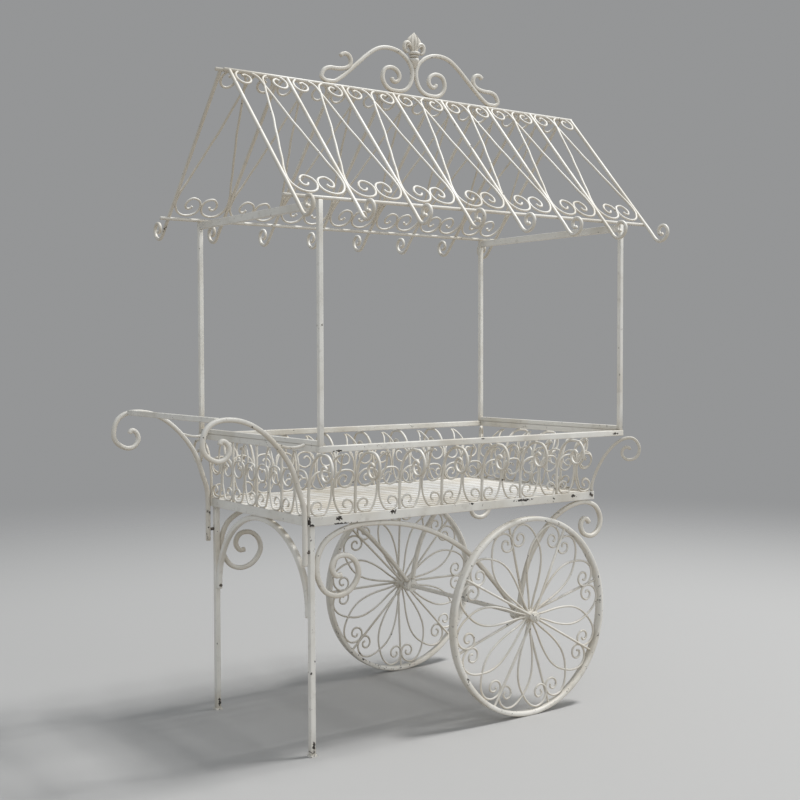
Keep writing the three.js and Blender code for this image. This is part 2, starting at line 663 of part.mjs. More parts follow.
for (const [side, s] of SIDES) {
  const top = underLimit - CARRIER_BAR / 2;
  const inner = legX + legHalf + GAP + CARRIER_BAR / 2;
  for (const [end, list, steps] of [['left', carrierLeft, 26], ['right', carrierRight, 20]]) {
    const endX = end === 'left' ? deckX0 : deckX1;
    const line = smooth(list, steps).map((p) => {
      const x = endX + p.x * (WHEEL_X - endX);
      return v2(Math.max(x, inner), Math.min(axleZ + p.y * (deckBottom - axleZ), top));
    });
    const axle = v2(WHEEL_X, axleZ);
    const toBracket = line.at(-1).clone().sub(axle).setLength(BRACKET_R + GAP);
    line.push(toBracket.add(axle));
    piece(`carrier_${side}_${end}`,
      closed(seat(bentBar(line, CARRIER_BAR), [0, s * underY, 0], [1, 0, 0], [0, 0, 1], [0, 1, 0])));
  }
  const b = BRACKET_HALF;
  piece(`axle_bracket_${side}`,
    turned([[bore, -b], [BRACKET_R, -b], [BRACKET_R, b], [bore, b], [bore, -b]], 16)
      .translate(WHEEL_X, s * underY, axleZ));
}

// ---- axle and wheels ----
const axleEnd = wheelY + HUB_HALF + 16;
piece('axle', turned([[0, -axleEnd], [AXLE_R, -axleEnd], [AXLE_R, axleEnd], [0, axleEnd]], 16)
  .translate(WHEEL_X, 0, axleZ), paint(STEEL, 0.5, 0.5));

// One bar of a wheel's petal pair, about a petal that points up: out from the hub flange on one side, over
// the middle near the band, along the band and back into a curl beside the next spoke.
function petalLine(reach) {
  const turn = spiral(reach * 0.24, reach * 0.805, reach * 0.14, 11, 85, -255, 5, 0.5);
  return [
    v2(-5, FLANGE_R - 4), v2(-reach * 0.085, reach * 0.36), v2(-reach * 0.09, reach * 0.58),
    v2(0, reach * 0.835), v2(reach * 0.1, reach * 0.92), ...turn,
  ];
}

for (const [side, s] of SIDES) {
  const bandOuter = WHEEL_R / Math.cos(Math.PI / 36);
  const bandInner = WHEEL_R - WHEEL_BAND_T;
  const w = WHEEL_BAND_W / 2;
  const at = [WHEEL_X, s * wheelY, axleZ];
  piece(`wheel_band_${side}`,
    turned([[bandInner, -w], [bandOuter, -w], [bandOuter, w], [bandInner, w], [bandInner, -w]], 36)
      .rotateY(Math.PI / 36).translate(...at));

  const h = HUB_HALF;
  const f = THIN * 0.35;
  const web = [turned([[bore, -h], [HUB_R, -h], [HUB_R, -f], [FLANGE_R, -f], [FLANGE_R, f], [HUB_R, f],
    [HUB_R, h], [bore, h], [bore, -h]], 16)];
  const reach = bandInner * Math.cos(Math.PI / 36) - GAP * 2;
  for (let i = 0; i < SPOKES; i += 1) {
    const lean = (i % 2 ? -1 : 1) * (h - SPOKE_BAR);
    const spoke = bentBar([v2(HUB_R * 0.75, lean), v2(reach, lean * 0.135)], SPOKE_BAR);
    const turn = rad(SPOKE_TURN[side] + (i * 360) / SPOKES);
    const c = Math.cos(turn);
    const n = Math.sin(turn);
    web.push(seat(spoke, [0, 0, 0], [c, 0, n], [0, 1, 0], [-n, 0, c]));
    const petal = petalLine(reach);
    const mid = turn + Math.PI / SPOKES - Math.PI / 2;
    const x = [Math.cos(mid), 0, Math.sin(mid)];
    const z = [-Math.sin(mid), 0, Math.cos(mid)];
    for (const points of [petal, flipX(petal)]) {
      web.push(seat(thinBar(points), [0, 0, 0], x, z, [0, 1, 0]));
    }
  }
  piece(`wheel_web_${side}`, toGeometry(toSolid(weld(web).translate(...at))));

  // Washer and nut outside the hub, and a collar that keeps the wheel off the bracket.
  const out = wheelY + HUB_HALF;
  const washer = turned([[bore, 0], [15, 0], [15, 2.5], [bore, 2.5], [bore, 0]], 16);
  const hex = boreFor(6);
  const nut = turned([[hex, 0], [hex + 4, 0], [hex + 4, 9], [hex, 9], [hex, 0]], 6);
  const flip = s < 0 ? Math.PI : 0;
  piece(`axle_washer_${side}`,
    washer.rotateX(flip).translate(WHEEL_X, s * (out + GAP), axleZ), paint(STEEL, 0.5, 0.6));
  piece(`axle_nut_${side}`,
    nut.rotateX(flip).translate(WHEEL_X, s * (out + GAP * 2 + 2.5), axleZ), paint(STEEL, 0.5, 0.6));
}

// The finished frame: the middle of the cart's footprint box at ground level is the origin.
const extent = new THREE.Box3().setFromObject(cart);
cart.position.set(-(extent.min.x + extent.max.x) / 2, 0, 0);
cart.updateMatrixWorld(true);

export default cart;
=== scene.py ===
"""Flower cart stand: old painted ironwork with a scrolled gallery, push handles and a gable roof.

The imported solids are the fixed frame. This script dresses them: rounded tubes and hand-bent bars
take the place of the plain solids, and all of it gets old chipped paint or worn steel.
Metres, +Z up. Listed outlines are in millimetres.
"""

import math
from functools import partial

import bmesh
import bpy
import numpy as np
from mathutils import Matrix, Vector


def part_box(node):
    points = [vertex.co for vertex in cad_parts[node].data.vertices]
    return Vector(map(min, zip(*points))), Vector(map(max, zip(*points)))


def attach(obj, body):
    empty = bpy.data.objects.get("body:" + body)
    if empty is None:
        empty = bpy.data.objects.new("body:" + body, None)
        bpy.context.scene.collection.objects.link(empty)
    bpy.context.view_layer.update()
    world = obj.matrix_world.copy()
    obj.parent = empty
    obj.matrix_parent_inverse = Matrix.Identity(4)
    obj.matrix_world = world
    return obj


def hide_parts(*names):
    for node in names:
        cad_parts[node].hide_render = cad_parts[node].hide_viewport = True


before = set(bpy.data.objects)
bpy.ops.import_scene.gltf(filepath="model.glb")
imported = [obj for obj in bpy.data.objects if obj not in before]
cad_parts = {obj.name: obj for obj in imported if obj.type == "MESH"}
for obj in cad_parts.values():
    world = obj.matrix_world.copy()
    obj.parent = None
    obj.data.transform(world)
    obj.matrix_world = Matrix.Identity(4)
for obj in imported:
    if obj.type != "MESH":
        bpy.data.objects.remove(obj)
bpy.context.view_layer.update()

bl_info = {
    "name": "Flower cart stand",
    "version": (1, 0, 0),
    "blender": (4, 5, 0),
    "location": "3D View > Sidebar > Flower cart",
    "description": "Builds the painted ironwork of a flower cart round its packed frame",
    "category": "Object",
}

MM = 0.001
GAP = 0.0003    # between welded pieces, as in the frame
SIDES = (("near", -1), ("far", 1))


# ---- places, read from the frame ----

def middle(node):
    lo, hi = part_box(node)
    return (lo + hi) / 2


def side_of(node, axis, top=True):
    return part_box(node)[1 if top else 0][axis]


LEFT_X = middle("post_near_left").x
POST_Y = middle("post_far_left").y
RIM_UNDER = side_of("rim_near", 2, False)
TUBE = side_of("rim_near", 2) - RIM_UNDER
POST_TOP = side_of("post_near_left", 2)
DECK_TOP = side_of("deck_rail_near", 2)
DECK_UNDER = side_of("deck_rail_near", 2, False)
DECK_HALF = middle("deck_rail_far").y
DECK_X0 = side_of("deck_rail_near", 0, False)
DECK_X1 = side_of("deck_rail_near", 0)
GALLERY_X0 = LEFT_X
GALLERY_X1 = DECK_X1 - TUBE / 4
RIDGE_TOP = side_of("roof_panel_near", 2)
ROOF_X1 = side_of("roof_panel_near", 0)
AXLE = middle("axle")
WHEEL_Y = middle("wheel_band_far").y
UNDER_Y = middle("leg_far").y
WHEEL_TURN = {"near": 16, "far": 0}    # degrees from level to a first spoke, as the wheels stand


# ---- settings ----

def size(name, description, default, low=0.0):
    return bpy.props.FloatProperty(name=name, description=description, default=default, min=low,
                                   subtype="DISTANCE", unit="LENGTH", precision=4)


def count(name, description, default):
    return bpy.props.IntProperty(name=name, description=description, default=default, min=1)


def colour(name, description, default):
    return bpy.props.FloatVectorProperty(name=name, description=description, default=default,
                                         size=3, subtype="COLOR", min=0.0, max=1.0)


class CART_PG_bars(bpy.types.PropertyGroup):
    tube_corner: size("Tube corner", "Corner radius of the square tubes", 0.0022)
    gallery_bar: size("Gallery bar", "Thickness of the upright gallery bars", 0.0085)
    thin_bar: size("Thin bar", "Thickness of the round scroll bars", 0.0068)
    roof_bar: size("Roof bar", "Thickness of the rafters, eave and ridge bars", 0.0115)
    roof_scroll: size("Roof scroll bar", "Thickness of the roof's long scroll bars", 0.0082)
    crest_bar: size("Crest bar", "Thickness of the crest's scrolls", 0.0138)
    handle_bar: size("Handle bar", "Thickness of the push handles", 0.0155)
    carrier_bar: size("Carrier bar", "Thickness of the bars between axle and tray", 0.0165)
    petal_bar: size("Petal bar", "Thickness of the wheels' petal bars", 0.0075)
    spoke_bar: size("Spoke", "Thickness of the wheel spokes", 0.0085)
    side_bays: count("Side bays", "Scroll pairs along a long side", 7)
    end_bays: count("End bays", "Scroll pairs along an end", 4)
    rafters: count("Rafters", "Rafters on each roof panel", 8)
    far_shift: size("Far panel shift", "How far along the ridge the far panel stands", -0.024, -1.0)
    far_tighter: size("Far panel step", "How much closer the far panel's rafters stand", 0.002)
    spokes: count("Spokes", "Spokes in a wheel", 8)
    band_width: size("Band width", "Width of the wheels' bands", 0.029)
    corner_bar: size("Corner bar", "Thickness of the tray's diagonal corner bars", 0.0105)
    slats: count("Slats", "Slats in the tray", 14)
    slat_gap: size("Slat gap", "Gap between two slats", 0.012)


class CART_PG_finish(bpy.types.PropertyGroup):
    cream: colour("Cream paint", "Top coat on the ironwork", (0.83, 0.805, 0.745))
    aged: colour("Aged paint", "Where the top coat has yellowed", (0.68, 0.635, 0.55))
    # painted shade: the tan given to faces that look down, standing for shade lit by light bounced
    # from the ground
    painted_underside_shade: colour("Underside", "Tan of the coat on faces that look down", (0.50, 0.43, 0.33))
    grime: colour("Grime", "Old dirt that sits in the coat", (0.34, 0.30, 0.245))
    bare: colour("Bare iron", "Dark iron under the chips", (0.045, 0.036, 0.030))
    slat_white: colour("Slat white", "Coat on the tray slats", (0.88, 0.875, 0.85))
    steel: colour("Worn steel", "Bolts, washers and the axle", (0.20, 0.175, 0.15))


class CART_PG_stage(bpy.types.PropertyGroup):
    lens: bpy.props.FloatProperty(name="Lens", description="Focal length for a 36 mm wide sensor",
                                  default=55.27, min=1.0, unit="CAMERA")
    floor: colour("Floor", "Colour of the floor", (0.46, 0.455, 0.445))
    backdrop: colour("Backdrop", "Colour behind the cart", (0.30, 0.304, 0.308))


def bars():
    return bpy.context.scene.cart_bars


def finish_colours():
    return bpy.context.scene.cart_finish


# ---- lines ----

def through(points, steps):
    """A smooth line through the listed points, evenly cut, by centripetal Catmull-Rom."""
    p = np.array(points, float)
    first, last = 2 * p[0] - p[1], 2 * p[-1] - p[-2]
    p = np.vstack([first, p, last])
    out = []
    for i in range(1, len(p) - 2):
        q = p[i - 1:i + 3]
        t = [0.0]
        for a, b in zip(q, q[1:]):
            t.append(t[-1] + max(np.linalg.norm(b - a), 1e-9) ** 0.5)
        for u in np.linspace(t[1], t[2], 12, endpoint=False):
            lerp = lambda a, b, ta, tb: a * ((tb - u) / (tb - ta)) + b * ((u - ta) / (tb - ta))
            a1, a2, a3 = (lerp(q[k], q[k + 1], t[k], t[k + 1]) for k in range(3))
            b1, b2 = lerp(a1, a2, t[0], t[2]), lerp(a2, a3, t[1], t[3])
            out.append(lerp(b1, b2, t[1], t[2]))
    out.append(p[-2])
    return evenly(np.array(out), steps)


def evenly(line, steps):
    """The line cut again into steps of one length."""
    gaps = np.linalg.norm(np.diff(line, axis=0), axis=1)
    along = np.concatenate([[0.0], np.cumsum(gaps)])
    want = np.linspace(0.0, along[-1], steps + 1)
    return np.stack([np.interp(want, along, line[:, k]) for k in range(line.shape[1])], axis=1)


def curl(centre, turns):
    """Points of a curl, from listed (degrees, radius) pairs about its centre."""
    angles, radii = np.array(turns, float).T
    return [(centre[0] + r * math.cos(math.radians(a)), centre[1] + r * math.sin(math.radians(a)))
            for a, r in zip(angles, radii)]


def flipped(line):
    out = np.array(line, float)
    out[:, 0] *= -1
    return out


def placed(line, origin, u, v):
    """A flat line laid in space: its two coordinates run along u and v from the origin."""
    line = np.asarray(line, float)
    return np.array(origin) + line[:, :1] * np.array(u) + line[:, 1:2] * np.array(v)


# ---- meshes ----

def rounded_section(width, depth, corner, arc=3, inset=0.0016):
    """A rounded rectangle as (across, deep) points, with a point beside each corner's arc."""
    inset = min(inset, (min(width, depth) / 2 - corner) * 0.6)
    out = []
    for k, (sx, sy) in enumerate(((1, 1), (-1, 1), (-1, -1), (1, -1))):
        cx, cy = sx * (width / 2 - corner), sy * (depth / 2 - corner)
        ring = []
        for i in range(arc + 1):
            a = math.radians(90 * (k + i / arc))
            ring.append((cx + corner * math.cos(a), cy + corner * math.sin(a)))
        a0, a1 = math.radians(90 * k), math.radians(90 * (k + 1))
        start, end = ring[0], ring[-1]
        ring.insert(0, (start[0] + inset * math.sin(a0), start[1] - inset * math.cos(a0)))
        ring.append((end[0] - inset * math.sin(a1), end[1] + inset * math.cos(a1)))
        out += ring
    return np.array(out)


def sweep(line, normal, section, ease=0.0012):
    """A closed bar along a line; the section's first coordinate lies across it in its plane."""
    line = np.asarray(line, float)
    normal = np.array(normal, float)
    ahead = np.gradient(line, axis=0)
    ahead /= np.linalg.norm(ahead, axis=1)[:, None]
    across = np.cross(ahead, normal)
    across /= np.linalg.norm(across, axis=1)[:, None]
    small = section * (1 - 2 * ease / np.ptp(section, axis=0))
    rings = [line[0] + small[:, :1] * across[0] + small[:, 1:] * normal]
    body = line.copy()
    body[0] += ahead[0] * ease
    body[-1] -= ahead[-1] * ease
    for p, a in zip(body, across):
        rings.append(p + section[:, :1] * a + section[:, 1:] * normal)
    rings.append(line[-1] + small[:, :1] * across[-1] + small[:, 1:] * normal)
    n = len(section)
    verts = np.vstack(rings)
    faces = [tuple(range(n)), tuple(reversed(range(len(verts) - n, len(verts))))]
    for i in range(len(rings) - 1):
        for j in range(n):
            k = (j + 1) % n
            faces.append((i * n + j, (i + 1) * n + j, (i + 1) * n + k, i * n + k))
    return verts, faces


def mesh_of(parts):
    """One mesh of several (points, faces) parts, its faces turned to point outwards."""
    mesh = bpy.data.meshes.new("part")
    verts, faces, base = [], [], 0
    for v, f in parts:
        verts.append(np.asarray(v, float))
        faces += [tuple(base + i for i in face) for face in f]
        base += len(v)
    mesh.from_pydata(np.vstack(verts).tolist(), [], faces)
    mesh.validate()
    bm = bmesh.new()
    bm.from_mesh(mesh)
    bmesh.ops.recalc_face_normals(bm, faces=bm.faces)
    bm.to_mesh(mesh)
    bm.free()
    mesh.shade_smooth()
    return mesh


def lathe(profile, centre, segments=48):
    """A solid turned about Y through the centre; its profile closes or ends on the axis."""
    profile = [tuple(p) for p in profile]
    closed = profile[0] == profile[-1]
    ring = profile[:-1] if closed else profile
    verts, index = [], []
    for r, y in ring:
        if r < 1e-9:
            index.append([len(verts)] * segments)
            verts.append((centre[0], centre[1] + y, centre[2]))
            continue
        index.append(list(range(len(verts), len(verts) + segments)))
        for i in range(segments):
            a = 2 * math.pi * i / segments
            verts.append((centre[0] + r * math.cos(a), centre[1] + y, centre[2] + r * math.sin(a)))
    faces = []
    pairs = list(zip(index, index[1:] + ([index[0]] if closed else [])))
    for a, b in pairs[:len(ring) if closed else len(ring) - 1]:
        for i in range(segments):
            k = (i + 1) % segments
            face = []
            for v in (a[i], b[i], b[k], a[k]):
                if v not in face:
                    face.append(v)
            if len(face) > 2:
                faces.append(tuple(face))
    return verts, faces


def upright(part, foot):
    """A part that was turned about Y, stood on a point so that its axis is Z."""
    points, faces = part
    return [(foot[0] + x, foot[1] - z, foot[2] + y) for x, y, z in points], faces


def there_and_back(half):
    """A closed profile from the half of it that lies below zero."""
    return [*half, *((r, -y) for r, y in reversed(half) if y), half[0]]


def rounded_tube(lo, hi, corner):
    """A straight tube between two corners of a box, along its longest side."""
    lo, hi = Vector(lo), Vector(hi)
    span = hi - lo
    axis = max(range(3), key=lambda k: span[k])
    deep = (axis + 1) % 3
    wide = (axis + 2) % 3
    mid = (lo + hi) / 2
    start, end = mid.copy(), mid.copy()
    start[axis], end[axis] = lo[axis], hi[axis]
    normal = [0.0] * 3
    normal[deep] = 1.0
    line = np.array([start.lerp(end, t) for t in np.linspace(0, 1, 9)])
    return sweep(line, normal, rounded_section(span[wide], span[deep], corner))


def piece(name, mesh, material, body="cart", nodes=()):
    """A finished piece of the cart, riding on its body and standing for its nodes."""
    mesh.name = name
    if material is not None:
        mesh.materials.clear()
        mesh.materials.append(material)
    obj = bpy.data.objects.new(name, mesh)
    bpy.context.scene.collection.objects.link(obj)
    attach(obj, body)
    if nodes:
        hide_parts(*nodes)
    return obj


# ---- nodes ----

def feed(tree, socket, value):
    """Links an output socket to the input, or sets the input's value."""
    if isinstance(value, bpy.types.NodeSocket):
        tree.links.new(value, socket)
    else:
        socket.default_value = value


def add(tree, kind, **inputs):
    """A node of that kind; each keyword names an input and gives an output socket or a value."""
    node = tree.nodes.new(kind)
    for label, value in inputs.items():
        feed(tree, node.inputs[label.replace("_", " ")], value)
    return node


def maths(tree, operation, *values, kind="Math", result=0):
    """The result of a sum, on vectors where the kind is VectorMath."""
    node = tree.nodes.new("ShaderNode" + kind)
    node.operation = operation
    for socket, value in zip(node.inputs, values):
        feed(tree, socket, value)
    return node.outputs[result]


def grown(name, sockets, grow):
    """The tree of that name: what grow makes from the inputs is realized and gets the material."""
    if name in bpy.data.node_groups:
        return bpy.data.node_groups[name]
    tree = bpy.data.node_groups.new(name, "GeometryNodeTree")
    for label, kind, default in (("Geometry", "Geometry", None), *sockets,
                                 ("Material", "Material", None)):
        socket = tree.interface.new_socket(label, in_out="INPUT", socket_type="NodeSocket" + kind)
        if default is not None:
            socket.default_value = default
    tree.interface.new_socket("Geometry", in_out="OUTPUT", socket_type="NodeSocketGeometry")
    given = tree.nodes.new("NodeGroupInput").outputs
    real = add(tree, "GeometryNodeRealizeInstances", Geometry=grow(tree, given))
    end = add(tree, "GeometryNodeSetMaterial", Geometry=real.outputs[0], Material=given["Material"])
    tree.links.new(end.outputs[0], tree.nodes.new("NodeGroupOutput").inputs[0])
    return tree


def in_steps(tree, given, one):
    """Copies at equal steps along a straight line."""
    line = add(tree, "GeometryNodeMeshLine", Count=given["Copies"], Offset=given["Step"])
    return add(tree, "GeometryNodeInstanceOnPoints", Points=line.outputs[0],
               Instance=one).outputs[0]


STEPS = ("Copies", "Int", 1), ("Step", "Vector", (0.1, 0, 0))


def repeat_tree():
    """Copies a piece at equal steps along a straight line."""
    return grown("Repeat along a line", STEPS,
                 lambda tree, given: in_steps(tree, given, given["Geometry"]))


def wire_tree():
    """Round bars along the lines of a curve, copied at equal steps along a straight line."""
    def grow(tree, given):
        ring = add(tree, "GeometryNodeCurvePrimitiveCircle", Resolution=given["Facets"],
                   Radius=given["Bar radius"])
        bar = add(tree, "GeometryNodeCurveToMesh", Curve=given["Geometry"],
                  Profile_Curve=ring.outputs[0], Fill_Caps=True)
        smooth = add(tree, "GeometryNodeSetShadeSmooth", Geometry=bar.outputs[0])
        return in_steps(tree, given, smooth.outputs[0])

    return grown("Round bars in bays",
                 (("Bar radius", "Float", 0.0035), ("Facets", "Int", 10), *STEPS), grow)


def wheel_tree():
    """Copies a piece round the Y axis at equal angles, with the wheel's middle as its zero."""
    def grow(tree, given):
        spots = add(tree, "GeometryNodeMeshLine", Count=given["Copies"],
                    Start_Location=given["Centre"], Offset=(0, 0, 0))
        step = maths(tree, "DIVIDE", 2 * math.pi, given["Copies"])
        index = add(tree, "GeometryNodeInputIndex").outputs[0]
        turn = add(tree, "ShaderNodeCombineXYZ", Y=maths(tree, "MULTIPLY", index, step))
        return add(tree, "GeometryNodeInstanceOnPoints", Points=spots.outputs[0],
                   Instance=given["Geometry"], Rotation=turn.outputs[0]).outputs[0]

    return grown("Repeat round an axle",
                 (("Copies", "Int", 8), ("Centre", "Vector", (0, 0, 0))), grow)


def bolt_tree():
    """Sets a bolt on each given point, turned to the direction stored there."""
    def grow(tree, given):
        bolt = add(tree, "GeometryNodeObjectInfo", Object=given["Bolt"])
        aim = add(tree, "GeometryNodeInputNamedAttribute", Name="aim")
        aim.data_type = "FLOAT_VECTOR"
        turn = add(tree, "FunctionNodeAlignRotationToVector", Vector=aim.outputs[0])
        turn.axis = "Z"
        return add(tree, "GeometryNodeInstanceOnPoints", Points=given["Geometry"],
                   Instance=bolt.outputs["Geometry"], Rotation=turn.outputs[0],
                   Scale=given["Size"]).outputs[0]

    return grown("Bolts on points", (("Bolt", "Object", None), ("Size", "Float", 1.0)), grow)


def run_tree(data, tree, **values):
    """A plain mesh of what a tree makes from a mesh or a curve."""
    source = bpy.data.objects.new(tree.name, data)
    bpy.context.scene.collection.objects.link(source)
    modifier = source.modifiers.new(tree.name, "NODES")
    modifier.node_group = tree
    named = {s.name: s.identifier for s in tree.interface.items_tree if s.in_out == "INPUT"}
    for label, value in values.items():
        modifier[named[label.replace("_", " ")]] = value
    bpy.context.view_layer.update()
    result = source.evaluated_get(bpy.context.evaluated_depsgraph_get())
    mesh = bpy.data.meshes.new_from_object(result)
    source.modifiers.clear()
    bpy.data.objects.remove(source)
    return mesh


def wires(lines, radius, material, copies=1, step=(0.1, 0, 0), facets=10):
    """Round bars along the lines, by the bay tree, as one mesh."""
    data = bpy.data.curves.new("lines", "CURVE")
    data.dimensions = "3D"
    for line in lines:
        spline = data.splines.new("POLY")
        spline.points.add(len(line) - 1)
        flat = np.column_stack([line, np.ones(len(line))]).ravel()
        spline.points.foreach_set("co", flat)
    return run_tree(data, wire_tree(), Bar_radius=radius, Facets=facets, Copies=copies,
                    Step=step, Material=material)


def repeated(mesh, copies, step, material):
    return run_tree(mesh, repeat_tree(), Copies=copies, Step=step, Material=material)


def joined(meshes, material):
    """Several meshes as one, all in one material."""
    bm = bmesh.new()
    for m in meshes:
        bm.from_mesh(m)
    for face in bm.faces:
        face.material_index = 0
    out = bpy.data.meshes.new("joined")
    bm.to_mesh(out)
    bm.free()
    out.materials.append(material)
    return out


# ---- materials ----

def shader(name):
    made = bpy.data.materials.new(name)
    made.use_nodes = True
    tree = made.node_tree
    return made, tree, tree.nodes["Principled BSDF"]


def noise(tree, where, scale, detail=3.0, rough=0.55):
    return add(tree, "ShaderNodeTexNoise", Vector=where, Scale=scale, Detail=detail,
               Roughness=rough).outputs[0]


def ramp(tree, value, low, high):
    """0 below low and 1 above high."""
    node = add(tree, "ShaderNodeMapRange", Value=value, From_Min=low, From_Max=high)
    node.interpolation_type = "SMOOTHSTEP"
    return node.outputs[0]


def blend_colour(tree, amount, a, b):
    """Colour a, and b where the amount is 1; each is a colour or an output socket."""
    node = tree.nodes.new("ShaderNodeMix")
    node.data_type = "RGBA"
    colours = [c if isinstance(c, bpy.types.NodeSocket) else (*c, 1.0) for c in (a, b)]
    for socket, value in zip((node.inputs[0], *node.inputs[6:8]), (amount, *colours)):
        feed(tree, socket, value)
    return node.outputs[2]


def bump(tree, height, strength, distance, **under):
    return add(tree, "ShaderNodeBump", Height=height, Strength=strength, Distance=distance,
               **under).outputs[0]


def marks(tree, where, places, fray):
    """Above 0 inside each (x, z, half length, half height) ellipse, with a frayed rim."""
    most = -9.0
    for x, z, long, high in places:
        off = maths(tree, "SUBTRACT", where, (x, 0.0, z), kind="VectorMath")
        flat = maths(tree, "MULTIPLY", off, (1 / long, 0.0, 1 / high), kind="VectorMath")
        far = maths(tree, "LENGTH", flat, kind="VectorMath", result="Value")
        most = maths(tree, "MAXIMUM", most, maths(tree, "SUBTRACT", 1.0, far))
    rim = maths(tree, "MULTIPLY", maths(tree, "SUBTRACT", fray, 0.5), 4.0)
    return maths(tree, "ADD", most, rim)


# waves of noise in a metre, from yellowing down to brush marks
YELLOWING, PATCHES, STAINS, KNOCKS, FLAKES, BRUSH = 4.5, 8, 34, 46, 150, 300


def old_paint(name, top, chips, edges, grime=0.3, places=(), under=(-0.8, 0.0, 0.5)):
    """Old brushed paint: a yellowed coat, grime, and chips to dark iron, more along edges,
    with painted shade in tan on faces that look down.

    A lower chips level gives more chips. Under says between which heights of the world normal
    the painted shade, a tan on faces that look down, comes in, and how much of it.
    """
    if name in bpy.data.materials:
        return bpy.data.materials[name]
    c = finish_colours()
    made, tree, bsdf = shader(name)
    plus, less, times = (partial(maths, tree, word) for word in ("ADD", "SUBTRACT", "MULTIPLY"))
    where = add(tree, "ShaderNodeTexCoord").outputs["Object"]
    surface = add(tree, "ShaderNodeNewGeometry").outputs
    broad = noise(tree, where, YELLOWING)
    coat = blend_colour(tree, ramp(tree, broad, 0.40, 0.70), top, c.aged)
    # painted shade: by the world normal, faces that look down are blended towards a tan
    low, high, amount = under
    height = add(tree, "ShaderNodeSeparateXYZ", Vector=surface["Normal"]).outputs["Z"]
    down = less(1.0, ramp(tree, height, low, high))
    coat = blend_colour(tree, times(down, amount), coat, c.painted_underside_shade)
    dirt = ramp(tree, noise(tree, where, STAINS, 5.0, 0.62), 0.54, 0.76)
    coat = blend_colour(tree, times(dirt, grime), coat, c.grime)
    # paint chips off in fine flakes within wider knocks, and more in patches, edges and places
    fine = noise(tree, where, FLAKES, 4.0, 0.6)
    level = plus(times(fine, 0.45), times(noise(tree, where, KNOCKS, 3.0, 0.6), 0.55))
    level = plus(level, times(ramp(tree, noise(tree, where, PATCHES, 2.0), 0.50, 0.72), 0.05))
    if edges:
        level = plus(level, times(ramp(tree, surface["Pointiness"], 0.53, 0.60), edges))
    if places:
        struck = ramp(tree, marks(tree, where, places, fine), 0.0, 0.2)
        level = plus(level, times(struck, 0.4))
    chip = ramp(tree, level, chips, chips + 0.015)
    halo = ramp(tree, level, chips - 0.035, chips)
    coat = blend_colour(tree, times(halo, 0.4), coat, c.grime)
    brushed = bump(tree, noise(tree, where, BRUSH, 2.0), 0.22, 0.0003)
    feed(tree, bsdf.inputs["Base Color"], blend_colour(tree, chip, coat, c.bare))
    feed(tree, bsdf.inputs["Roughness"],
         plus(plus(times(broad, 0.22), 0.33), times(chip, 0.25)))
    feed(tree, bsdf.inputs["Normal"],
         bump(tree, less(1.0, chip), 0.7, 0.0004, Normal=brushed))
    return made


def cream(name, chips, edges, **more):
    return old_paint("chipped_cream_" + name, finish_colours().cream, chips, edges, **more)


def bar_paint():
    """Coat on round and bent bars."""
    # painted shade: tan on the bars' faces that look down, reaching up their sides
    return cream("bars", 0.655, 0.0, under=(-0.7, 0.45, 0.75))


def tube_paint():
    """Coat on the straight square tubes, worn along their corners."""
    return cream("tubes", 0.66, 0.06)


def band_paint():
    """Coat on the wheel bands, chipped by the ground."""
    return cream("bands", 0.638, 0.08)


# the larger knocks on a tube: (along, up, half length, half height) from its lower left corner
TUBE_KNOCKS = {
    "deck_rail_near": [(2, 15, 4, 15), (11, 5, 8, 4), (110, 19, 11, 6), (120, 2, 26, 3),
                       (320, 24, 12, 5), (645, 26, 8, 3), (875, 21, 36, 4), (1115, 19, 12, 5),
                       (1200, 20, 5, 6)],
    "rim_near": [(1258, 9, 13, 4), (70, 4, 16, 3), (640, 17, 9, 2)],
    "leg_near": [(11, 26, 5, 15), (3, 256, 2.5, 5), (15, 294, 2, 4)],
    "leg_far": [(11, 22, 5, 14), (4, 230, 2, 4)],
}


def knocked_paint(node):
    """Coat on a tube, with the knocks that it shows."""
    if node not in TUBE_KNOCKS:
        return tube_paint()
    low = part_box(node)[0]
    places = [(low.x + x * MM, low.z + z * MM, long * MM, high * MM)
              for x, z, long, high in TUBE_KNOCKS[node]]
    return cream(node, 0.655, 0.06, places=places)


def slat_paint():
    """White coat on the slats, with painted shade, a tan, on their sides where the gaps are."""
    return old_paint("white_slats", finish_colours().slat_white, 0.70, 0.03, grime=0.35,
                     under=(0.25, 0.85, 0.95))


def worn_steel():
    """Dark worn steel with traces of paint."""
    if "worn_steel" in bpy.data.materials:
        return bpy.data.materials["worn_steel"]
    c = finish_colours()
    made, tree, bsdf = shader("worn_steel")
    where = add(tree, "ShaderNodeTexCoord").outputs["Object"]
    spots = noise(tree, where, 160, 4.0)
    base = blend_colour(tree, ramp(tree, spots, 0.4, 0.7), c.steel, c.bare)
    traces = ramp(tree, noise(tree, where, 70, 4.0), 0.58, 0.66)
    bsdf.inputs["Metallic"].default_value = 0.55
    feed(tree, bsdf.inputs["Base Color"], blend_colour(tree, traces, base, c.aged))
    feed(tree, bsdf.inputs["Roughness"], maths(tree, "MULTIPLY_ADD", spots, 0.35, 0.3))
    feed(tree, bsdf.inputs["Normal"], bump(tree, spots, 0.35, 0.0008))
    return made


# ---- shapes that several pieces share ----

DRAWN_REACH = 79.0    # half bay that the scroll is drawn for
BAR_SPACE = 8.2       # from a bay's edge to its outermost scroll bar's middle
NECK = [(0, 0), (0, 60), (5, 110), (18, 150), (31, 172), (52, 189), (72, 196)]


def flare():
    """The flared gallery's section as evenly cut (out, up) points, in metres."""
    return through(np.array(NECK) * MM, 120)


def on_section(line, section):
    """Lays flat (along, distance) points on a section: gives (along, out, up)."""
    gaps = np.linalg.norm(np.diff(section, axis=0), axis=1)
    along = np.concatenate([[0.0], np.cumsum(gaps)])
    d = np.clip(line[:, 1], 0, along[-1])
    return np.stack([line[:, 0], np.interp(d, along, section[:, 0]),
                     np.interp(d, along, section[:, 1])], axis=1)


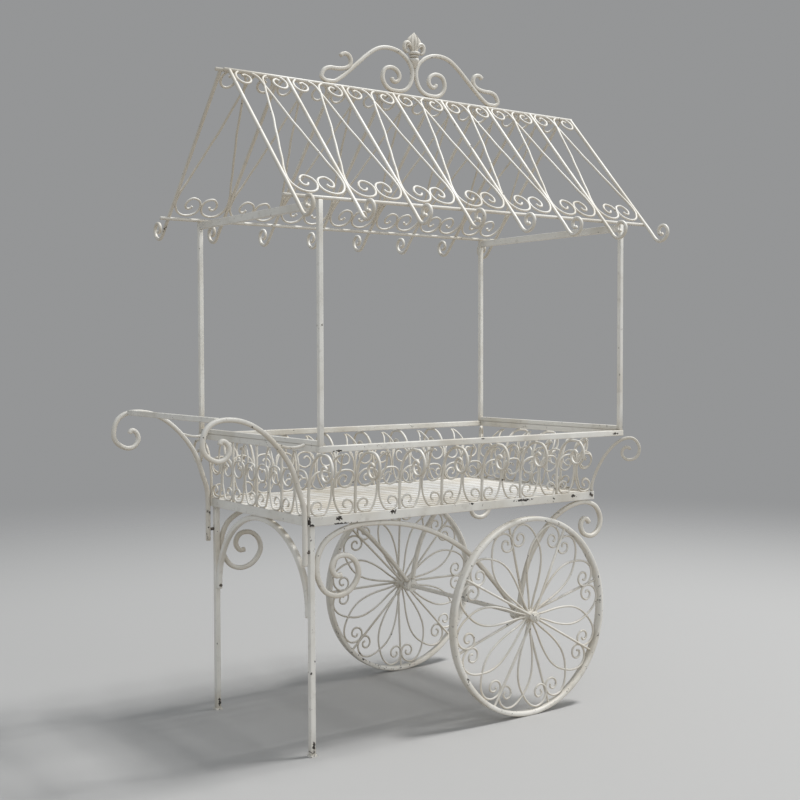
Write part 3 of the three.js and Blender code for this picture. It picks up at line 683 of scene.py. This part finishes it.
def gallery_scroll(reach):
    """The right-hand C scroll of a bay, from the bay's middle and the deck."""
    k = reach / DRAWN_REACH
    top = curl((reach - 33 * k, 111), [
        (150, 39), (118, 33), (90, 30), (55, 31.5), (20, 33), (-10, 33), (-45, 29.5), (-90, 27),
        (-135, 26), (-180, 23), (-225, 18), (-270, 11), (-310, 6)])
    foot = curl((reach - 25 * k, 25), [
        (600, 5), (560, 9), (515, 15), (470, 19), (430, 20), (390, 22), (355, 24), (320, 24),
        (285, 22.5), (250, 24), (215, 32)])
    return through([*foot, (11, 34), (5.5, 55), (3.4, 80), (5, 103), *top], 84) * MM


def leaf(tip):
    """One side of the pointed leaf above a scroll pair, up to its tip."""
    return through([(3.6, 96), (9, 112), (17, 128), (21.5, 146), (20, 164), (13, 184),
                    (3.4, tip)], 26) * MM


def bay_lines(bay, section, tip, trims=(0, 0)):
    """A bay's four bars as (along, out, up) from the bay's middle."""
    out = []
    for s, trim in zip((-1, 1), trims):
        reach = bay / MM / 2 - BAR_SPACE - trim
        for line in (gallery_scroll(reach), leaf(tip)):
            line = line if s > 0 else flipped(line)
            out.append(on_section(line, section))
    return out


def swan_neck(stretch=1.0, leaning=False):
    """A gallery bar in its own plane as (out, up), from the deck over to its curl."""
    rise = [(x * stretch, z) for x, z in NECK[:-1]]
    over = [(72 * stretch, 196), (90 * stretch, 196.5)]
    if leaning:
        rise = [(0, 0), (4, 32), (17, 70), (33, 104), (54, 138), (80, 168)]
        over = [(106, 187), (128, 194.5)]
    c = (97.5 * stretch, 150)
    turn = curl(c, [(68, 45.5), (38, 42), (5, 39), (-30, 37.5), (-65, 36), (-100, 34), (-135, 29),
                    (-170, 23), (-210, 17), (-250, 12.5), (-300, 8.5), (-340, 5.5)])
    return through([(0, 0.4), *rise[1:], *over, *turn], 84) * MM


# ---- operators ----

class CART_OT_tubes(bpy.types.Operator):
    """Rounds the straight tubes: tray rails, rims, posts, cross rails, legs and the push bar."""
    bl_idname = "cart.tubes"
    bl_label = "Square tubes"

    def execute(self, context):
        corner = bars().tube_corner
        for node in sorted(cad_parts):
            if node.startswith(("deck_rail", "rim_", "post_", "cross_rail", "leg_near", "leg_far")):
                lo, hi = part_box(node)
                mesh = mesh_of([rounded_tube(lo, hi, corner)])
                piece("tube_" + node, mesh, knocked_paint(node), nodes=[node])
        lo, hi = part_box("push_bar")
        mesh = mesh_of([rounded_tube(lo, hi, corner * 1.4)])
        piece("push_bar_round", mesh, tube_paint(), nodes=["push_bar"])
        return {"FINISHED"}


class CART_OT_deck(bpy.types.Operator):
    """Lays the tray's slats over their bearers."""
    bl_idname = "cart.deck"
    bl_label = "Tray slats"

    def execute(self, context):
        b = bars()
        lo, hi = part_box("deck_slats")
        pitch = (hi.y - lo.y) / b.slats
        one = mesh_of([rounded_tube((lo.x, lo.y + b.slat_gap / 2, lo.z),
                                    (hi.x, lo.y + pitch - b.slat_gap / 2, hi.z), 0.0014)])
        mesh = repeated(one, b.slats, (0, pitch, 0), slat_paint())
        piece("tray_slats", mesh, None, nodes=["deck_slats"])
        return {"FINISHED"}


class CART_OT_gallery(bpy.types.Operator):
    """Bends the gallery: scroll pairs and leaves all round, swan-necked bars but straight ones at
    the left end.
    """
    bl_idname = "cart.gallery"
    bl_label = "Gallery"

    def execute(self, context):
        b = bars()
        side = flare()
        side_bay = (GALLERY_X1 - GALLERY_X0) / b.side_bays
        end_bay = 2 * DECK_HALF / b.end_bays
        section = rounded_section(b.gallery_bar, b.gallery_bar, b.gallery_bar * 0.3)
        radius = b.thin_bar / 2
        for name, s in SIDES:
            lay = lambda line: np.stack([GALLERY_X0 + side_bay / 2 + line[:, 0],
                                         s * (DECK_HALF + line[:, 1]),
                                         DECK_TOP + line[:, 2]], axis=1)
            lines = [lay(line) for line in bay_lines(side_bay, side, 219)]
            scrolls = wires(lines, radius, bar_paint(), b.side_bays, (side_bay, 0, 0))
            neck = placed(swan_neck(), (GALLERY_X0, s * DECK_HALF, DECK_TOP), (0, s, 0), (0, 0, 1))
            necks = repeated(mesh_of([sweep(neck, (1, 0, 0), section)]), b.side_bays,
                             (side_bay, 0, 0), bar_paint())
            d = math.sqrt(0.5)
            corner = placed(swan_neck(1.36, True), (GALLERY_X1, s * DECK_HALF, DECK_TOP),
                            (d, s * d, 0), (0, 0, 1))
            stout = rounded_section(b.corner_bar, b.corner_bar, b.corner_bar * 0.3)
            last = mesh_of([sweep(corner, (d, -s * d, 0), stout)])
            piece(f"gallery_bars_{name}", joined([necks, last], bar_paint()), None,
                  nodes=[f"gallery_{name}"])
            piece(f"gallery_scrolls_{name}", scrolls, None)
        straight = np.array([(0, 0), (0, 0.3)])
        for name, x, out, shape, tip in (("right", GALLERY_X1, 1, side, 219),
                                         ("left", GALLERY_X0, -1, straight, 199)):
            lay = lambda line, k=0.5: np.stack([x + out * line[:, 1],
                                                -DECK_HALF + k * end_bay + line[:, 0],
                                                DECK_TOP + line[:, 2]], axis=1)
            meshes = []
            for k, trims in ((0.5, (2.5, 0)), (b.end_bays - 0.5, (0, 2.5))):
                lines = [lay(line, k) for line in bay_lines(end_bay, shape, tip, trims)]
                meshes.append(wires(lines, radius, bar_paint()))
            lines = [lay(line, 1.5) for line in bay_lines(end_bay, shape, tip)]
            meshes.append(wires(lines, radius, bar_paint(), b.end_bays - 2, (0, end_bay, 0)))
            piece(f"gallery_scrolls_{name}", joined(meshes, bar_paint()), None)
            if name == "right":
                flat = swan_neck()
            else:
                top = (RIM_UNDER - DECK_TOP) / MM - 0.4
                flat = through([(0, 0.4), (0, 100), (0, top)], 12) * MM
            bar = placed(flat, (x, -DECK_HALF + end_bay, DECK_TOP), (out, 0, 0), (0, 0, 1))
            mesh = repeated(mesh_of([sweep(bar, (0, 1, 0), section)]), b.end_bays - 1,
                            (0, end_bay, 0), bar_paint())
            piece(f"gallery_bars_{name}", mesh, None, nodes=[f"gallery_{name}"])
        return {"FINISHED"}


FIRST_RAFTER = 0.094                    # its middle, before the left posts' middle
ROOF_END = 0.006                        # from the last rafter's middle to the long bars' ends
EAVE_START, RIDGE_START = 0.034, 0.019  # how far the eave and ridge bars pass the first rafter
EAVE_UP = 0.0159                        # a rafter's middle above the post tops, over the posts
RIDGE_HALF = 0.0063                     # from the middle plane to a ridge bar's middle
RIDGE_DOWN = 0.006                      # from a panel's top to its ridge bar's middle


class CART_OT_roof(bpy.types.Operator):
    """Bends the roof: rafters with curled tails, long crossing scrolls, eave and ridge bars."""
    bl_idname = "cart.roof"
    bl_label = "Roof"

    def execute(self, context):
        b = bars()
        rb = b.roof_bar
        first_x = LEFT_X - FIRST_RAFTER
        step_x = (ROOF_X1 - ROOF_END - first_x) / (b.rafters - 1)
        eave_z, ridge_z = POST_TOP + EAVE_UP, RIDGE_TOP - RIDGE_DOWN
        run, rise = POST_Y - RIDGE_HALF, ridge_z - eave_z
        slope = math.hypot(run, rise)
        section = rounded_section(rb, rb, rb * 0.4)
        foot = curl((-38, 48), [
            (705, 5), (630, 10), (582, 18), (532, 22), (486, 26.6), (450, 32), (400, 34.5),
            (355, 35), (310, 38), (262, 42), (222, 50), (180, 59.5)])
        top = [(10.5, 564), (43.8, 583.5), (73, 579), (88.5, 565), (93, 549), (89, 532), (75, 520),
               (56.6, 522), (43.8, 536), (43.8, 552), (56.6, 564), (69, 558)]
        line = [*foot, (-95.5, 100), (-82, 150), (-71, 200), (-58, 250), (-47, 300), (-33.6, 350),
                (-24.5, 400), (-15, 450), (-5, 500), (0, 520), *top]
        scroll = through(line, 210) * MM
        tail = curl((-92, 38), [(-90, 38), (-115, 35), (-145, 30), (-180, 27), (-215, 26),
                                (-250, 26), (-290, 25), (-330, 23), (-365, 20), (-405, 16),
                                (-445, 12), (-490, 8), (-530, 6)])
        for name, s in SIDES:
            x0 = first_x + (b.far_shift if s > 0 else 0.0)
            pitch = step_x - (b.far_tighter if s > 0 else 0.0)
            up = (0, -s * run / slope, rise / slope)
            off = (0, s * rise / slope, run / slope)
            origin = np.array((x0, s * POST_Y, eave_z))
            flat = through([(slope / MM, 0), (slope / MM * 0.5, 0), (60, 0), (-40, 0), *tail],
                           150) * MM
            rafter = placed(flat, origin, up, off)
            one = mesh_of([sweep(rafter, (1, 0, 0), section)])
            rafters = repeated(one, b.rafters, (pitch, 0, 0), bar_paint())
            middle_x = origin + np.array((pitch / 2, 0, 0))
            lines = [placed(shape, middle_x, (1, 0, 0), up) for shape in (scroll, flipped(scroll))]
            scrolls = wires(lines, b.roof_scroll / 2, bar_paint(), b.rafters - 1, (pitch, 0, 0))
            end = x0 + pitch * (b.rafters - 1) + ROOF_END
            long_bars = mesh_of([
                rounded_tube((x0 - start, y - rb / 2, low), (end, y + rb / 2, low + rb), rb * 0.4)
                for start, y, low in ((EAVE_START, s * POST_Y, POST_TOP + GAP),
                                      (RIDGE_START, s * RIDGE_HALF, ridge_z - rb / 2))])
            piece(f"rafters_{name}", joined([rafters, long_bars], bar_paint()), None,
                  nodes=[f"roof_panel_{name}"])
            piece(f"roof_scrolls_{name}", scrolls, None)
        return {"FINISHED"}


CREST_ARM = [    # from the left hook to the curl; across, up from the ridge
    (-312, 99), (-302, 107), (-291, 109), (-277, 104), (-270, 90), (-274, 72), (-288, 62),
    (-303, 57), (-330, 54), (-353, 54), (-374, 47), (-383, 36), (-388, 20), (-374, 9), (-355, 8.2),
    (-337, 10), (-308, 28), (-280, 50), (-245, 80), (-195, 122), (-153, 147), (-107, 154),
    (-62, 145), (-28, 122), (-12, 98), (-8, 75), (-12, 52), (-22, 32), (-37, 18), (-57, 10),
    (-78, 8), (-100, 9.5), (-118, 17), (-132, 33), (-137, 50), (-133, 70), (-123, 82), (-108, 87),
    (-92, 87), (-76, 80), (-66, 68), (-65, 55), (-72, 44), (-84, 39), (-95, 44), (-97, 53)]


class CART_OT_crest(bpy.types.Operator):
    """Bends the crest's two scroll arms and carves the lily above them."""
    bl_idname = "cart.crest"
    bl_label = "Crest and lily"

    def execute(self, context):
        b = bars()
        x = middle("crest").x
        base = RIDGE_TOP
        line = through(np.array(CREST_ARM, float), 240) * MM
        section = rounded_section(b.crest_bar, b.crest_bar, b.crest_bar * 0.32)
        parts = []
        for flat in (line, flipped(line)):
            arm = placed(flat, (x, 0, base), (1, 0, 0), (0, 0, 1))
            parts.append(sweep(arm, (0, 1, 0), section))
        piece("crest_scrolls", mesh_of(parts), bar_paint(), nodes=["crest"])
        lo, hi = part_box("finial")
        profile = [(0, 0.094), (0.0055, 0.096), (0.0095, 0.104), (0.015, 0.116), (0.018, 0.124),
                   (0.0165, 0.131), (0.0, 0.1335)]
        socket = upright(lathe(profile, (0, 0, 0), 28), (x, 0, base))
        piece("crest_socket", mesh_of([socket]), bar_paint())
        piece("lily", lily_mesh(x, lo.z, hi.z - lo.z), bar_paint(), nodes=["finial"])
        return {"FINISHED"}


def lily_mesh(x, z, tall):
    """A three-petalled lily on a band: each petal a crowned, ridged blade."""
    k = tall / 88.0    # the outlines below are drawn 88 tall
    parts = []

    def blade(spine, widths, thick):
        spine = through(np.array(spine, float), 22)
        wide = np.interp(np.linspace(0, 1, len(spine)), np.linspace(0, 1, len(widths)), widths)
        ahead = np.gradient(spine, axis=0)
        ahead /= np.linalg.norm(ahead, axis=1)[:, None]
        across = np.stack([ahead[:, 1], -ahead[:, 0]], axis=1)
        verts, n = [], 16
        for p, a, w in zip(spine, across, wide):
            for i in range(n):
                t = 2 * math.pi * i / n
                c, d = math.cos(t), math.sin(t)
                deep = thick * (0.25 + 0.75 * min(1.0, w / max(widths)))
                flat = p + a * (w * c)
                crown = deep * d * (0.72 + 0.28 * abs(d))
                verts.append((x + flat[0] * k, crown * k, z + flat[1] * k))
        faces = [tuple(range(n)), tuple(range(len(verts) - 1, len(verts) - n - 1, -1))]
        for i in range(len(spine) - 1):
            for j in range(n):
                m = (j + 1) % n
                faces.append((i * n + j, (i + 1) * n + j, (i + 1) * n + m, i * n + m))
        parts.append((verts, faces))

    blade([(0, 13), (0, 30), (0, 52), (0, 70), (0, 87.6)],
          [11, 13, 17, 22, 27.5, 31, 31.5, 28, 20, 10, 1.6], 7)
    for s in (-1, 1):
        blade([(s * 8, 24), (s * 12, 44), (s * 14.5, 60), (s * 12.5, 72), (s * 8, 81)],
              [4, 5, 5, 3.6, 1], 9)
        blade([(s * 4, 17), (s * 10, 33), (s * 20, 46), (s * 31, 50), (s * 41, 44), (s * 43, 33),
               (s * 39, 22), (s * 31, 16), (s * 28, 21)], [4, 5, 7, 7.6, 7.6, 7.2, 7, 6.5, 4.5], 8)
        blade([(s * 9, 19), (s * 16, 34), (s * 28, 42), (s * 36, 34), (s * 33, 25)],
              [1.5, 2.2, 2.6, 2.2, 1.4], 11)
    blade([(0, 16), (0, 40), (0, 60), (0, 78)], [2.2, 2.6, 2.4, 0.6], 11)
    ease = 2.0
    rings = [([(0, low), (r - ease, low), (r, low + ease), (r, high - ease), (r - ease, high),
               (0, high)], 28) for r, low, high in ((20.5, 9.0, 19.5), (16.5, 0.2, 6.5))]
    rings.append(([(0, 5), (8, 5), (7, 8), (8, 11), (0, 11)], 20))
    for profile, segments in rings:
        ring = lathe([(a * k, c * k) for a, c in profile], (0, 0, 0), segments)
        parts.append(upright(ring, (x, 0, z)))
    return mesh_of(parts)


HANDLE_ARM = [    # from the leg up to the curl; along from the left posts, up from the rim
    (-14, -374), (-14, -300), (-14, -239), (-18, -190), (-33, -144), (-58, -74), (-88, -27),
    (-127, 17), (-170, 52), (-216, 75), (-262, 85), (-300, 84), (-330, 74), (-350, 54), (-359, 26),
    (-358, 0), (-347, -18), (-327, -31), (-306, -36), (-286, -29), (-273, -10), (-275, 8),
    (-287, 22), (-299, 23), (-303, 13)]


class CART_OT_handles(bpy.types.Operator):
    """Bends the two push handles and their braces."""
    bl_idname = "cart.handles"
    bl_label = "Push handles"

    def execute(self, context):
        b = bars()
        rim = RIM_UNDER + TUBE
        lo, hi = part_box("handle_near")
        line = through(np.array(HANDLE_ARM, float), 190) * MM
        line[:, 0] += LEFT_X
        half = b.handle_bar / 2
        line[:, 0] = np.clip(line[:, 0], lo.x + half, DECK_X0 - GAP - half)
        line[:, 1] += rim
        line[0, 1] = lo.z
        section = rounded_section(b.handle_bar, b.handle_bar, 0.0058)
        thin = rounded_section(0.008, 0.0115, 0.002)    # the braces are flat bars
        brace = [(-133, 20), (-118, 8), (-97, 1), (-72, -5), (-46, -6), (-28, -3), (-14.6, 1)]
        low = through(np.array(brace, float), 26) * MM + np.array((LEFT_X, rim))
        for name, s in SIDES:
            y = middle(f"handle_{name}").y
            parts = []
            for flat, shape in ((line, section), (low, thin)):
                parts.append(sweep(placed(flat, (0, y, 0), (1, 0, 0), (0, 0, 1)), (0, 1, 0), shape))
            piece(f"push_handle_{name}", mesh_of(parts), bar_paint(), nodes=[f"handle_{name}"])
        return {"FINISHED"}


LONG_CARRIER = [    # from its curl to the axle; along from the left posts, up from the ground
    (125, 558), (107, 556), (93, 571), (90, 591), (107, 615), (145, 618), (178, 595), (189, 552),
    (158, 508), (112, 493), (68, 508), (40, 550), (34, 606), (58, 660), (112, 694), (188, 710),
    (262, 711), (346, 702), (430, 683), (521, 648), (594, 608), (650, 568), (750, 470), (800, 414),
    (842, 363.6)]
SHORT_CARRIER = [    # the same at the other end of the tray
    (1205, 634), (1193, 648), (1176, 650), (1163, 629), (1176, 598), (1215, 585), (1249, 602),
    (1263, 642), (1239, 690), (1185, 711), (1118, 704), (1048, 675), (992, 632), (948, 580),
    (910, 520), (883, 440), (868, 369)]


class CART_OT_under(bpy.types.Operator):
    """Bends the bars under the tray: the arch between the legs and the axle's carriers."""
    bl_idname = "cart.under"
    bl_label = "Leg arch and carriers"

    def execute(self, context):
        b = bars()
        lo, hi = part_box("leg_arch")
        w = hi.x - lo.x
        reach = hi.y - w / 2
        rise = hi.z - w / 2 - lo.z - w
        bend = [(reach * math.cos(a), lo.z + w + rise * math.sin(a))
                for a in np.linspace(0, math.pi, 25)]
        line = through([(reach, lo.z), *bend, (-reach, lo.z)], 96)
        line[:, 1] = np.minimum(line[:, 1], hi.z - w / 2)
        arch = placed(line, (middle("leg_arch").x, 0, 0), (0, 1, 0), (0, 0, 1))
        mesh = mesh_of([sweep(arch, (1, 0, 0), rounded_section(w, w, 0.0045))])
        piece("leg_arch_bar", mesh, tube_paint(), nodes=["leg_arch"])

        c = b.carrier_bar
        section = rounded_section(c, c, 0.0055)
        for name, s in SIDES:
            y = s * UNDER_Y
            for end, points in (("left", LONG_CARRIER), ("right", SHORT_CARRIER)):
                node = f"carrier_{name}_{end}"
                lo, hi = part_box(node)
                line = through(np.array(points, float), 170) * MM
                line[:, 0] += LEFT_X
                last = hi.x - c / 2 if end == "right" else math.inf
                line[:, 0] = np.clip(line[:, 0], lo.x + c / 2, last)
                line[:, 1] = np.minimum(line[:, 1], DECK_UNDER - GAP - c / 2)
                bar = placed(line, (0, y, 0), (1, 0, 0), (0, 0, 1))
                mesh = mesh_of([sweep(bar, (0, 1, 0), section)])
                piece(f"axle_{node}", mesh, bar_paint(), nodes=[node])
        return {"FINISHED"}


BAND_DEEP, BAND_EDGE = 0.0155, 0.003    # the band's thickness and the rounding of its edges
BORE = 0.0084           # the hub's radius on the axle
SPOKE_OUT = 0.015       # from the axle's middle to a spoke's foot
SPOKE_IN = 0.009        # from the hub's end to a spoke's foot
LEAN_LEFT = 0.135       # the part of its lean that a spoke still has at the band
DRAWN_INNER = 0.3295    # inner radius of the band that the petal is drawn for
PETAL = [    # across and out from the hub, to the curl
    (-4, 21), (-12, 66), (-25, 120), (-31, 165), (-30, 205), (-19, 242), (0, 272), (20, 295),
    (44, 311), (70, 315), (93, 304), (106, 284), (107, 262), (97, 245), (80, 239), (64, 246),
    (56, 261), (60, 276), (73, 283), (85, 277), (88, 266), (81, 260)]


class CART_OT_wheels(bpy.types.Operator):
    """Makes the two wheels: band, hub, leaning spokes and petal scrolls."""
    bl_idname = "cart.wheels"
    bl_label = "Wheels"

    def execute(self, context):
        b = bars()
        for name, s in SIDES:
            body = f"wheel_{name}"
            centre = Vector((AXLE.x, s * WHEEL_Y, AXLE.z))
            lo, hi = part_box(f"wheel_band_{name}")
            r, w = (hi.z - lo.z) / 2, b.band_width / 2
            t, e = BAND_DEEP, BAND_EDGE
            band = there_and_back([(r - t, -w + e), (r - t + e * 0.6, -w), (r - e, -w),
                                   (r - e * 0.3, -w + e * 0.4), (r, -w + e)])
            mesh = mesh_of([lathe(band, centre, 120)])
            piece(f"wheel_hoop_{name}", mesh, band_paint(), body, nodes=[f"wheel_band_{name}"])

            lo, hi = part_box(f"wheel_web_{name}")
            h = (hi.y - lo.y) / 2
            hub = there_and_back([(BORE, -h), (0.017, -h), (0.0188, -h + 0.002),
                                  (0.0188, -h + 0.009), (0.0155, -h + 0.012), (0.0155, -0.006),
                                  (0.018, -0.0035), (0.0255, -0.003), (0.026, 0.0)])
            hub_mesh = mesh_of([lathe(hub, centre, 40)])

            inner = r - t
            line = through(np.array(PETAL, float), 110) * MM * (inner / DRAWN_INNER)
            first = math.radians(WHEEL_TURN[name])
            up = first + math.pi / b.spokes
            turned = []
            for flat in (line, flipped(line)):
                turned.append(placed(flat, (0, 0, 0), (math.sin(up), 0, -math.cos(up)),
                                     (math.cos(up), 0, math.sin(up))))
            pair = wires(turned, b.petal_bar / 2, bar_paint())
            petals = run_tree(pair, wheel_tree(), Copies=b.spokes, Centre=centre,
                              Material=bar_paint())

            rods = []    # two spokes, which lean in from the hub's two ends
            for i, lean in enumerate((h - SPOKE_IN, SPOKE_IN - h)):
                a = first + 2 * math.pi * i / b.spokes
                foot = Vector((SPOKE_OUT * math.cos(a), lean, SPOKE_OUT * math.sin(a)))
                tip = Vector((inner * math.cos(a), lean * LEAN_LEFT, inner * math.sin(a)))
                rods.append(np.array([foot.lerp(tip, k) for k in (0, 0.25, 0.5, 0.75, 1)]))
            spokes = wires(rods, b.spoke_bar / 2, bar_paint(), facets=12)
            spokes = run_tree(spokes, wheel_tree(), Copies=b.spokes // 2, Centre=centre,
                              Material=bar_paint())
            web = joined([hub_mesh, petals, spokes], bar_paint())
            piece(f"wheel_spokes_{name}", web, None, body, nodes=[f"wheel_web_{name}"])
        return {"FINISHED"}


BOLT_IN, BOLT_SUNK = 0.012, 0.0002    # a bolt from its rail's end, and into the rail's face


class CART_OT_fixings(bpy.types.Operator):
    """Sets the bolt heads at the joints and finishes the small parts that stay as they are."""
    bl_idname = "cart.fixings"
    bl_label = "Bolts and small parts"

    def execute(self, context):
        points = bpy.data.meshes.new("bolt_places")
        rail_face = DECK_HALF + TUBE / 2 - BOLT_SUNK
        points.from_pydata([(DECK_X1 - BOLT_IN, s * rail_face, (DECK_TOP + DECK_UNDER) / 2)
                            for _, s in SIDES], [], [])
        aim = points.attributes.new("aim", "FLOAT_VECTOR", "POINT")
        aim.data.foreach_set("vector", np.array([(0, s, 0) for _, s in SIDES], np.float32).ravel())
        dome = lathe([(0, 0.0), (0.0052, 0.0), (0.0056, 0.0008), (0.0044, 0.0026),
                      (0.0022, 0.0036), (0, 0.0039)], (0, 0, 0), 12)
        head = mesh_of([upright(dome, (0, 0, 0))])
        bolt = bpy.data.objects.new("bolt", head)
        bpy.context.scene.collection.objects.link(bolt)
        mesh = run_tree(points, bolt_tree(), Bolt=bolt, Size=1.0, Material=worn_steel())
        bpy.data.objects.remove(bolt)
        piece("frame_bolts", mesh, None)
        for node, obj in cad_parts.items():
            if obj.hide_render:
                continue
            steel = node.startswith(("arch_bolt", "handle_spacer"))
            obj.data.materials.clear()
            obj.data.materials.append(worn_steel() if steel else tube_paint())
        return {"FINISHED"}


CAMERA = (-1.9729, -3.5447, 1.2545)        # its x is from the left posts
CAMERA_TURN = (0.6245, -0.038, -0.0022)    # yaw from +Y, pitch and roll in radians
LAMPS = (("key", (6.3, -2.0, 15.6), 2240, 2.6),    # name, place, watts, size
         ("front", (-3.4, -5.2, 3.0), 46, 3.0),
         ("side", (4.6, -4.0, 2.6), 50, 3.0))
LAMP_AIM = Vector((0, 0, 1.1))
SKY_TINT, SKY_STRENGTH = (0.90, 0.95, 1.0), 0.40
FLOOR_REACH = 9.0        # from the middle to the floor's sides
FLOOR_FADE = 2.2, 7.0    # from the middle to where it starts and ends to fade


def camera_place(yaw, pitch, roll):
    """The photograph's point of view, found from the cart's own straight edges."""
    ahead = Vector((math.sin(yaw) * math.cos(pitch), math.cos(yaw) * math.cos(pitch),
                    math.sin(pitch)))
    right = Vector((math.cos(yaw), -math.sin(yaw), 0))
    up = right.cross(ahead)
    right, up = (right * math.cos(roll) + up * math.sin(roll),
                 up * math.cos(roll) - right * math.sin(roll))
    turn = Matrix((right, up, -ahead)).transposed()
    x, y, z = CAMERA
    return Matrix.Translation((LEFT_X + x, y, z)) @ turn.to_4x4()


def lay_floor(tone):
    """A matt floor that fades out towards its rim, so that no edge shows."""
    made, tree, bsdf = shader("pale_floor")
    bsdf.inputs["Base Color"].default_value = (*tone, 1.0)
    bsdf.inputs["Roughness"].default_value = 0.9
    where = add(tree, "ShaderNodeTexCoord").outputs["Object"]
    far = maths(tree, "LENGTH", where, kind="VectorMath", result="Value")
    clear = add(tree, "ShaderNodeBsdfTransparent")
    fade = mixed(tree, ramp(tree, far, *FLOOR_FADE), bsdf.outputs[0], clear.outputs[0])
    feed(tree, tree.nodes["Material Output"].inputs["Surface"], fade)
    floor = bpy.data.meshes.new("floor")
    corners = [(x * FLOOR_REACH, y * FLOOR_REACH, 0)
               for x, y in ((-1, -1), (1, -1), (1, 1), (-1, 1))]
    floor.from_pydata(corners, [], [(0, 1, 2, 3)])
    floor.materials.append(made)
    obj = bpy.data.objects.new("floor", floor)
    bpy.context.scene.collection.objects.link(obj)


def mixed(tree, amount, a, b):
    """Shader a, and b where the amount is 1."""
    node = tree.nodes.new("ShaderNodeMixShader")
    for socket, value in zip(node.inputs, (amount, a, b)):
        feed(tree, socket, value)
    return node.outputs[0]


def studio_world(backdrop):
    """Soft light from all round, and a plain backdrop for the camera and for reflections."""
    world = bpy.data.worlds.new("studio")
    world.use_nodes = True
    tree = world.node_tree
    light = tree.nodes["Background"]
    light.inputs["Color"].default_value = (*SKY_TINT, 1.0)
    light.inputs["Strength"].default_value = SKY_STRENGTH
    shown = add(tree, "ShaderNodeBackground", Color=(*backdrop, 1.0))
    rays = add(tree, "ShaderNodeLightPath").outputs
    seen = rays["Is Camera Ray"]
    for kind in ("Is Glossy Ray", "Is Transmission Ray"):
        seen = maths(tree, "MAXIMUM", seen, rays[kind])
    feed(tree, tree.nodes["World Output"].inputs["Surface"],
         mixed(tree, seen, light.outputs[0], shown.outputs[0]))
    return world


class CART_OT_stage(bpy.types.Operator):
    """Sets the floor, the soft studio light and the camera at the photograph's angle."""
    bl_idname = "cart.stage"
    bl_label = "Stage"

    def execute(self, context):
        scene = context.scene
        settings = scene.cart_stage
        data = bpy.data.cameras.new("camera")
        data.lens, data.sensor_width = settings.lens, 36
        data.clip_start, data.clip_end = 0.05, 200
        scene.camera = bpy.data.objects.new("camera", data)
        scene.collection.objects.link(scene.camera)
        scene.camera.matrix_world = camera_place(*CAMERA_TURN)
        lay_floor(settings.floor)
        scene.world = studio_world(settings.backdrop)
        for name, place, power, span in LAMPS:
            lamp = bpy.data.lights.new(name, "AREA")
            lamp.energy, lamp.size = power, span
            obj = bpy.data.objects.new(name, lamp)
            obj.location = place
            aim = LAMP_AIM - Vector(place)
            obj.rotation_euler = aim.to_track_quat("-Z", "Y").to_euler()
            scene.collection.objects.link(obj)
        scene.view_settings.view_transform = "Standard"
        return {"FINISHED"}


OPERATORS = (CART_OT_stage, CART_OT_tubes, CART_OT_deck, CART_OT_gallery, CART_OT_roof,
             CART_OT_crest, CART_OT_handles, CART_OT_under, CART_OT_wheels, CART_OT_fixings)


class CART_PT_panel(bpy.types.Panel):
    """Lists the cart's builders and their settings."""
    bl_idname = "CART_PT_panel"
    bl_label = "Flower cart"
    bl_space_type = "VIEW_3D"
    bl_region_type = "UI"
    bl_category = "Flower cart"

    def draw(self, context):
        for group in (context.scene.cart_bars, context.scene.cart_finish, context.scene.cart_stage):
            box = self.layout.box()
            for key in group.__annotations__:
                box.prop(group, key)
        for operator in OPERATORS:
            self.layout.operator(operator.bl_idname)


GROUPS = (("cart_bars", CART_PG_bars), ("cart_finish", CART_PG_finish),
          ("cart_stage", CART_PG_stage))


def register():
    for name, group in GROUPS:
        bpy.utils.register_class(group)
        setattr(bpy.types.Scene, name, bpy.props.PointerProperty(type=group))
    for cls in (*OPERATORS, CART_PT_panel):
        bpy.utils.register_class(cls)


def unregister():
    for cls in reversed((*OPERATORS, CART_PT_panel)):
        bpy.utils.unregister_class(cls)
    for name, group in reversed(GROUPS):
        delattr(bpy.types.Scene, name)
        bpy.utils.unregister_class(group)


def main():
    register()
    for operator in OPERATORS:
        area, _, action = operator.bl_idname.partition(".")
        getattr(getattr(bpy.ops, area), action)()


if __name__ == "__main__":
    main()
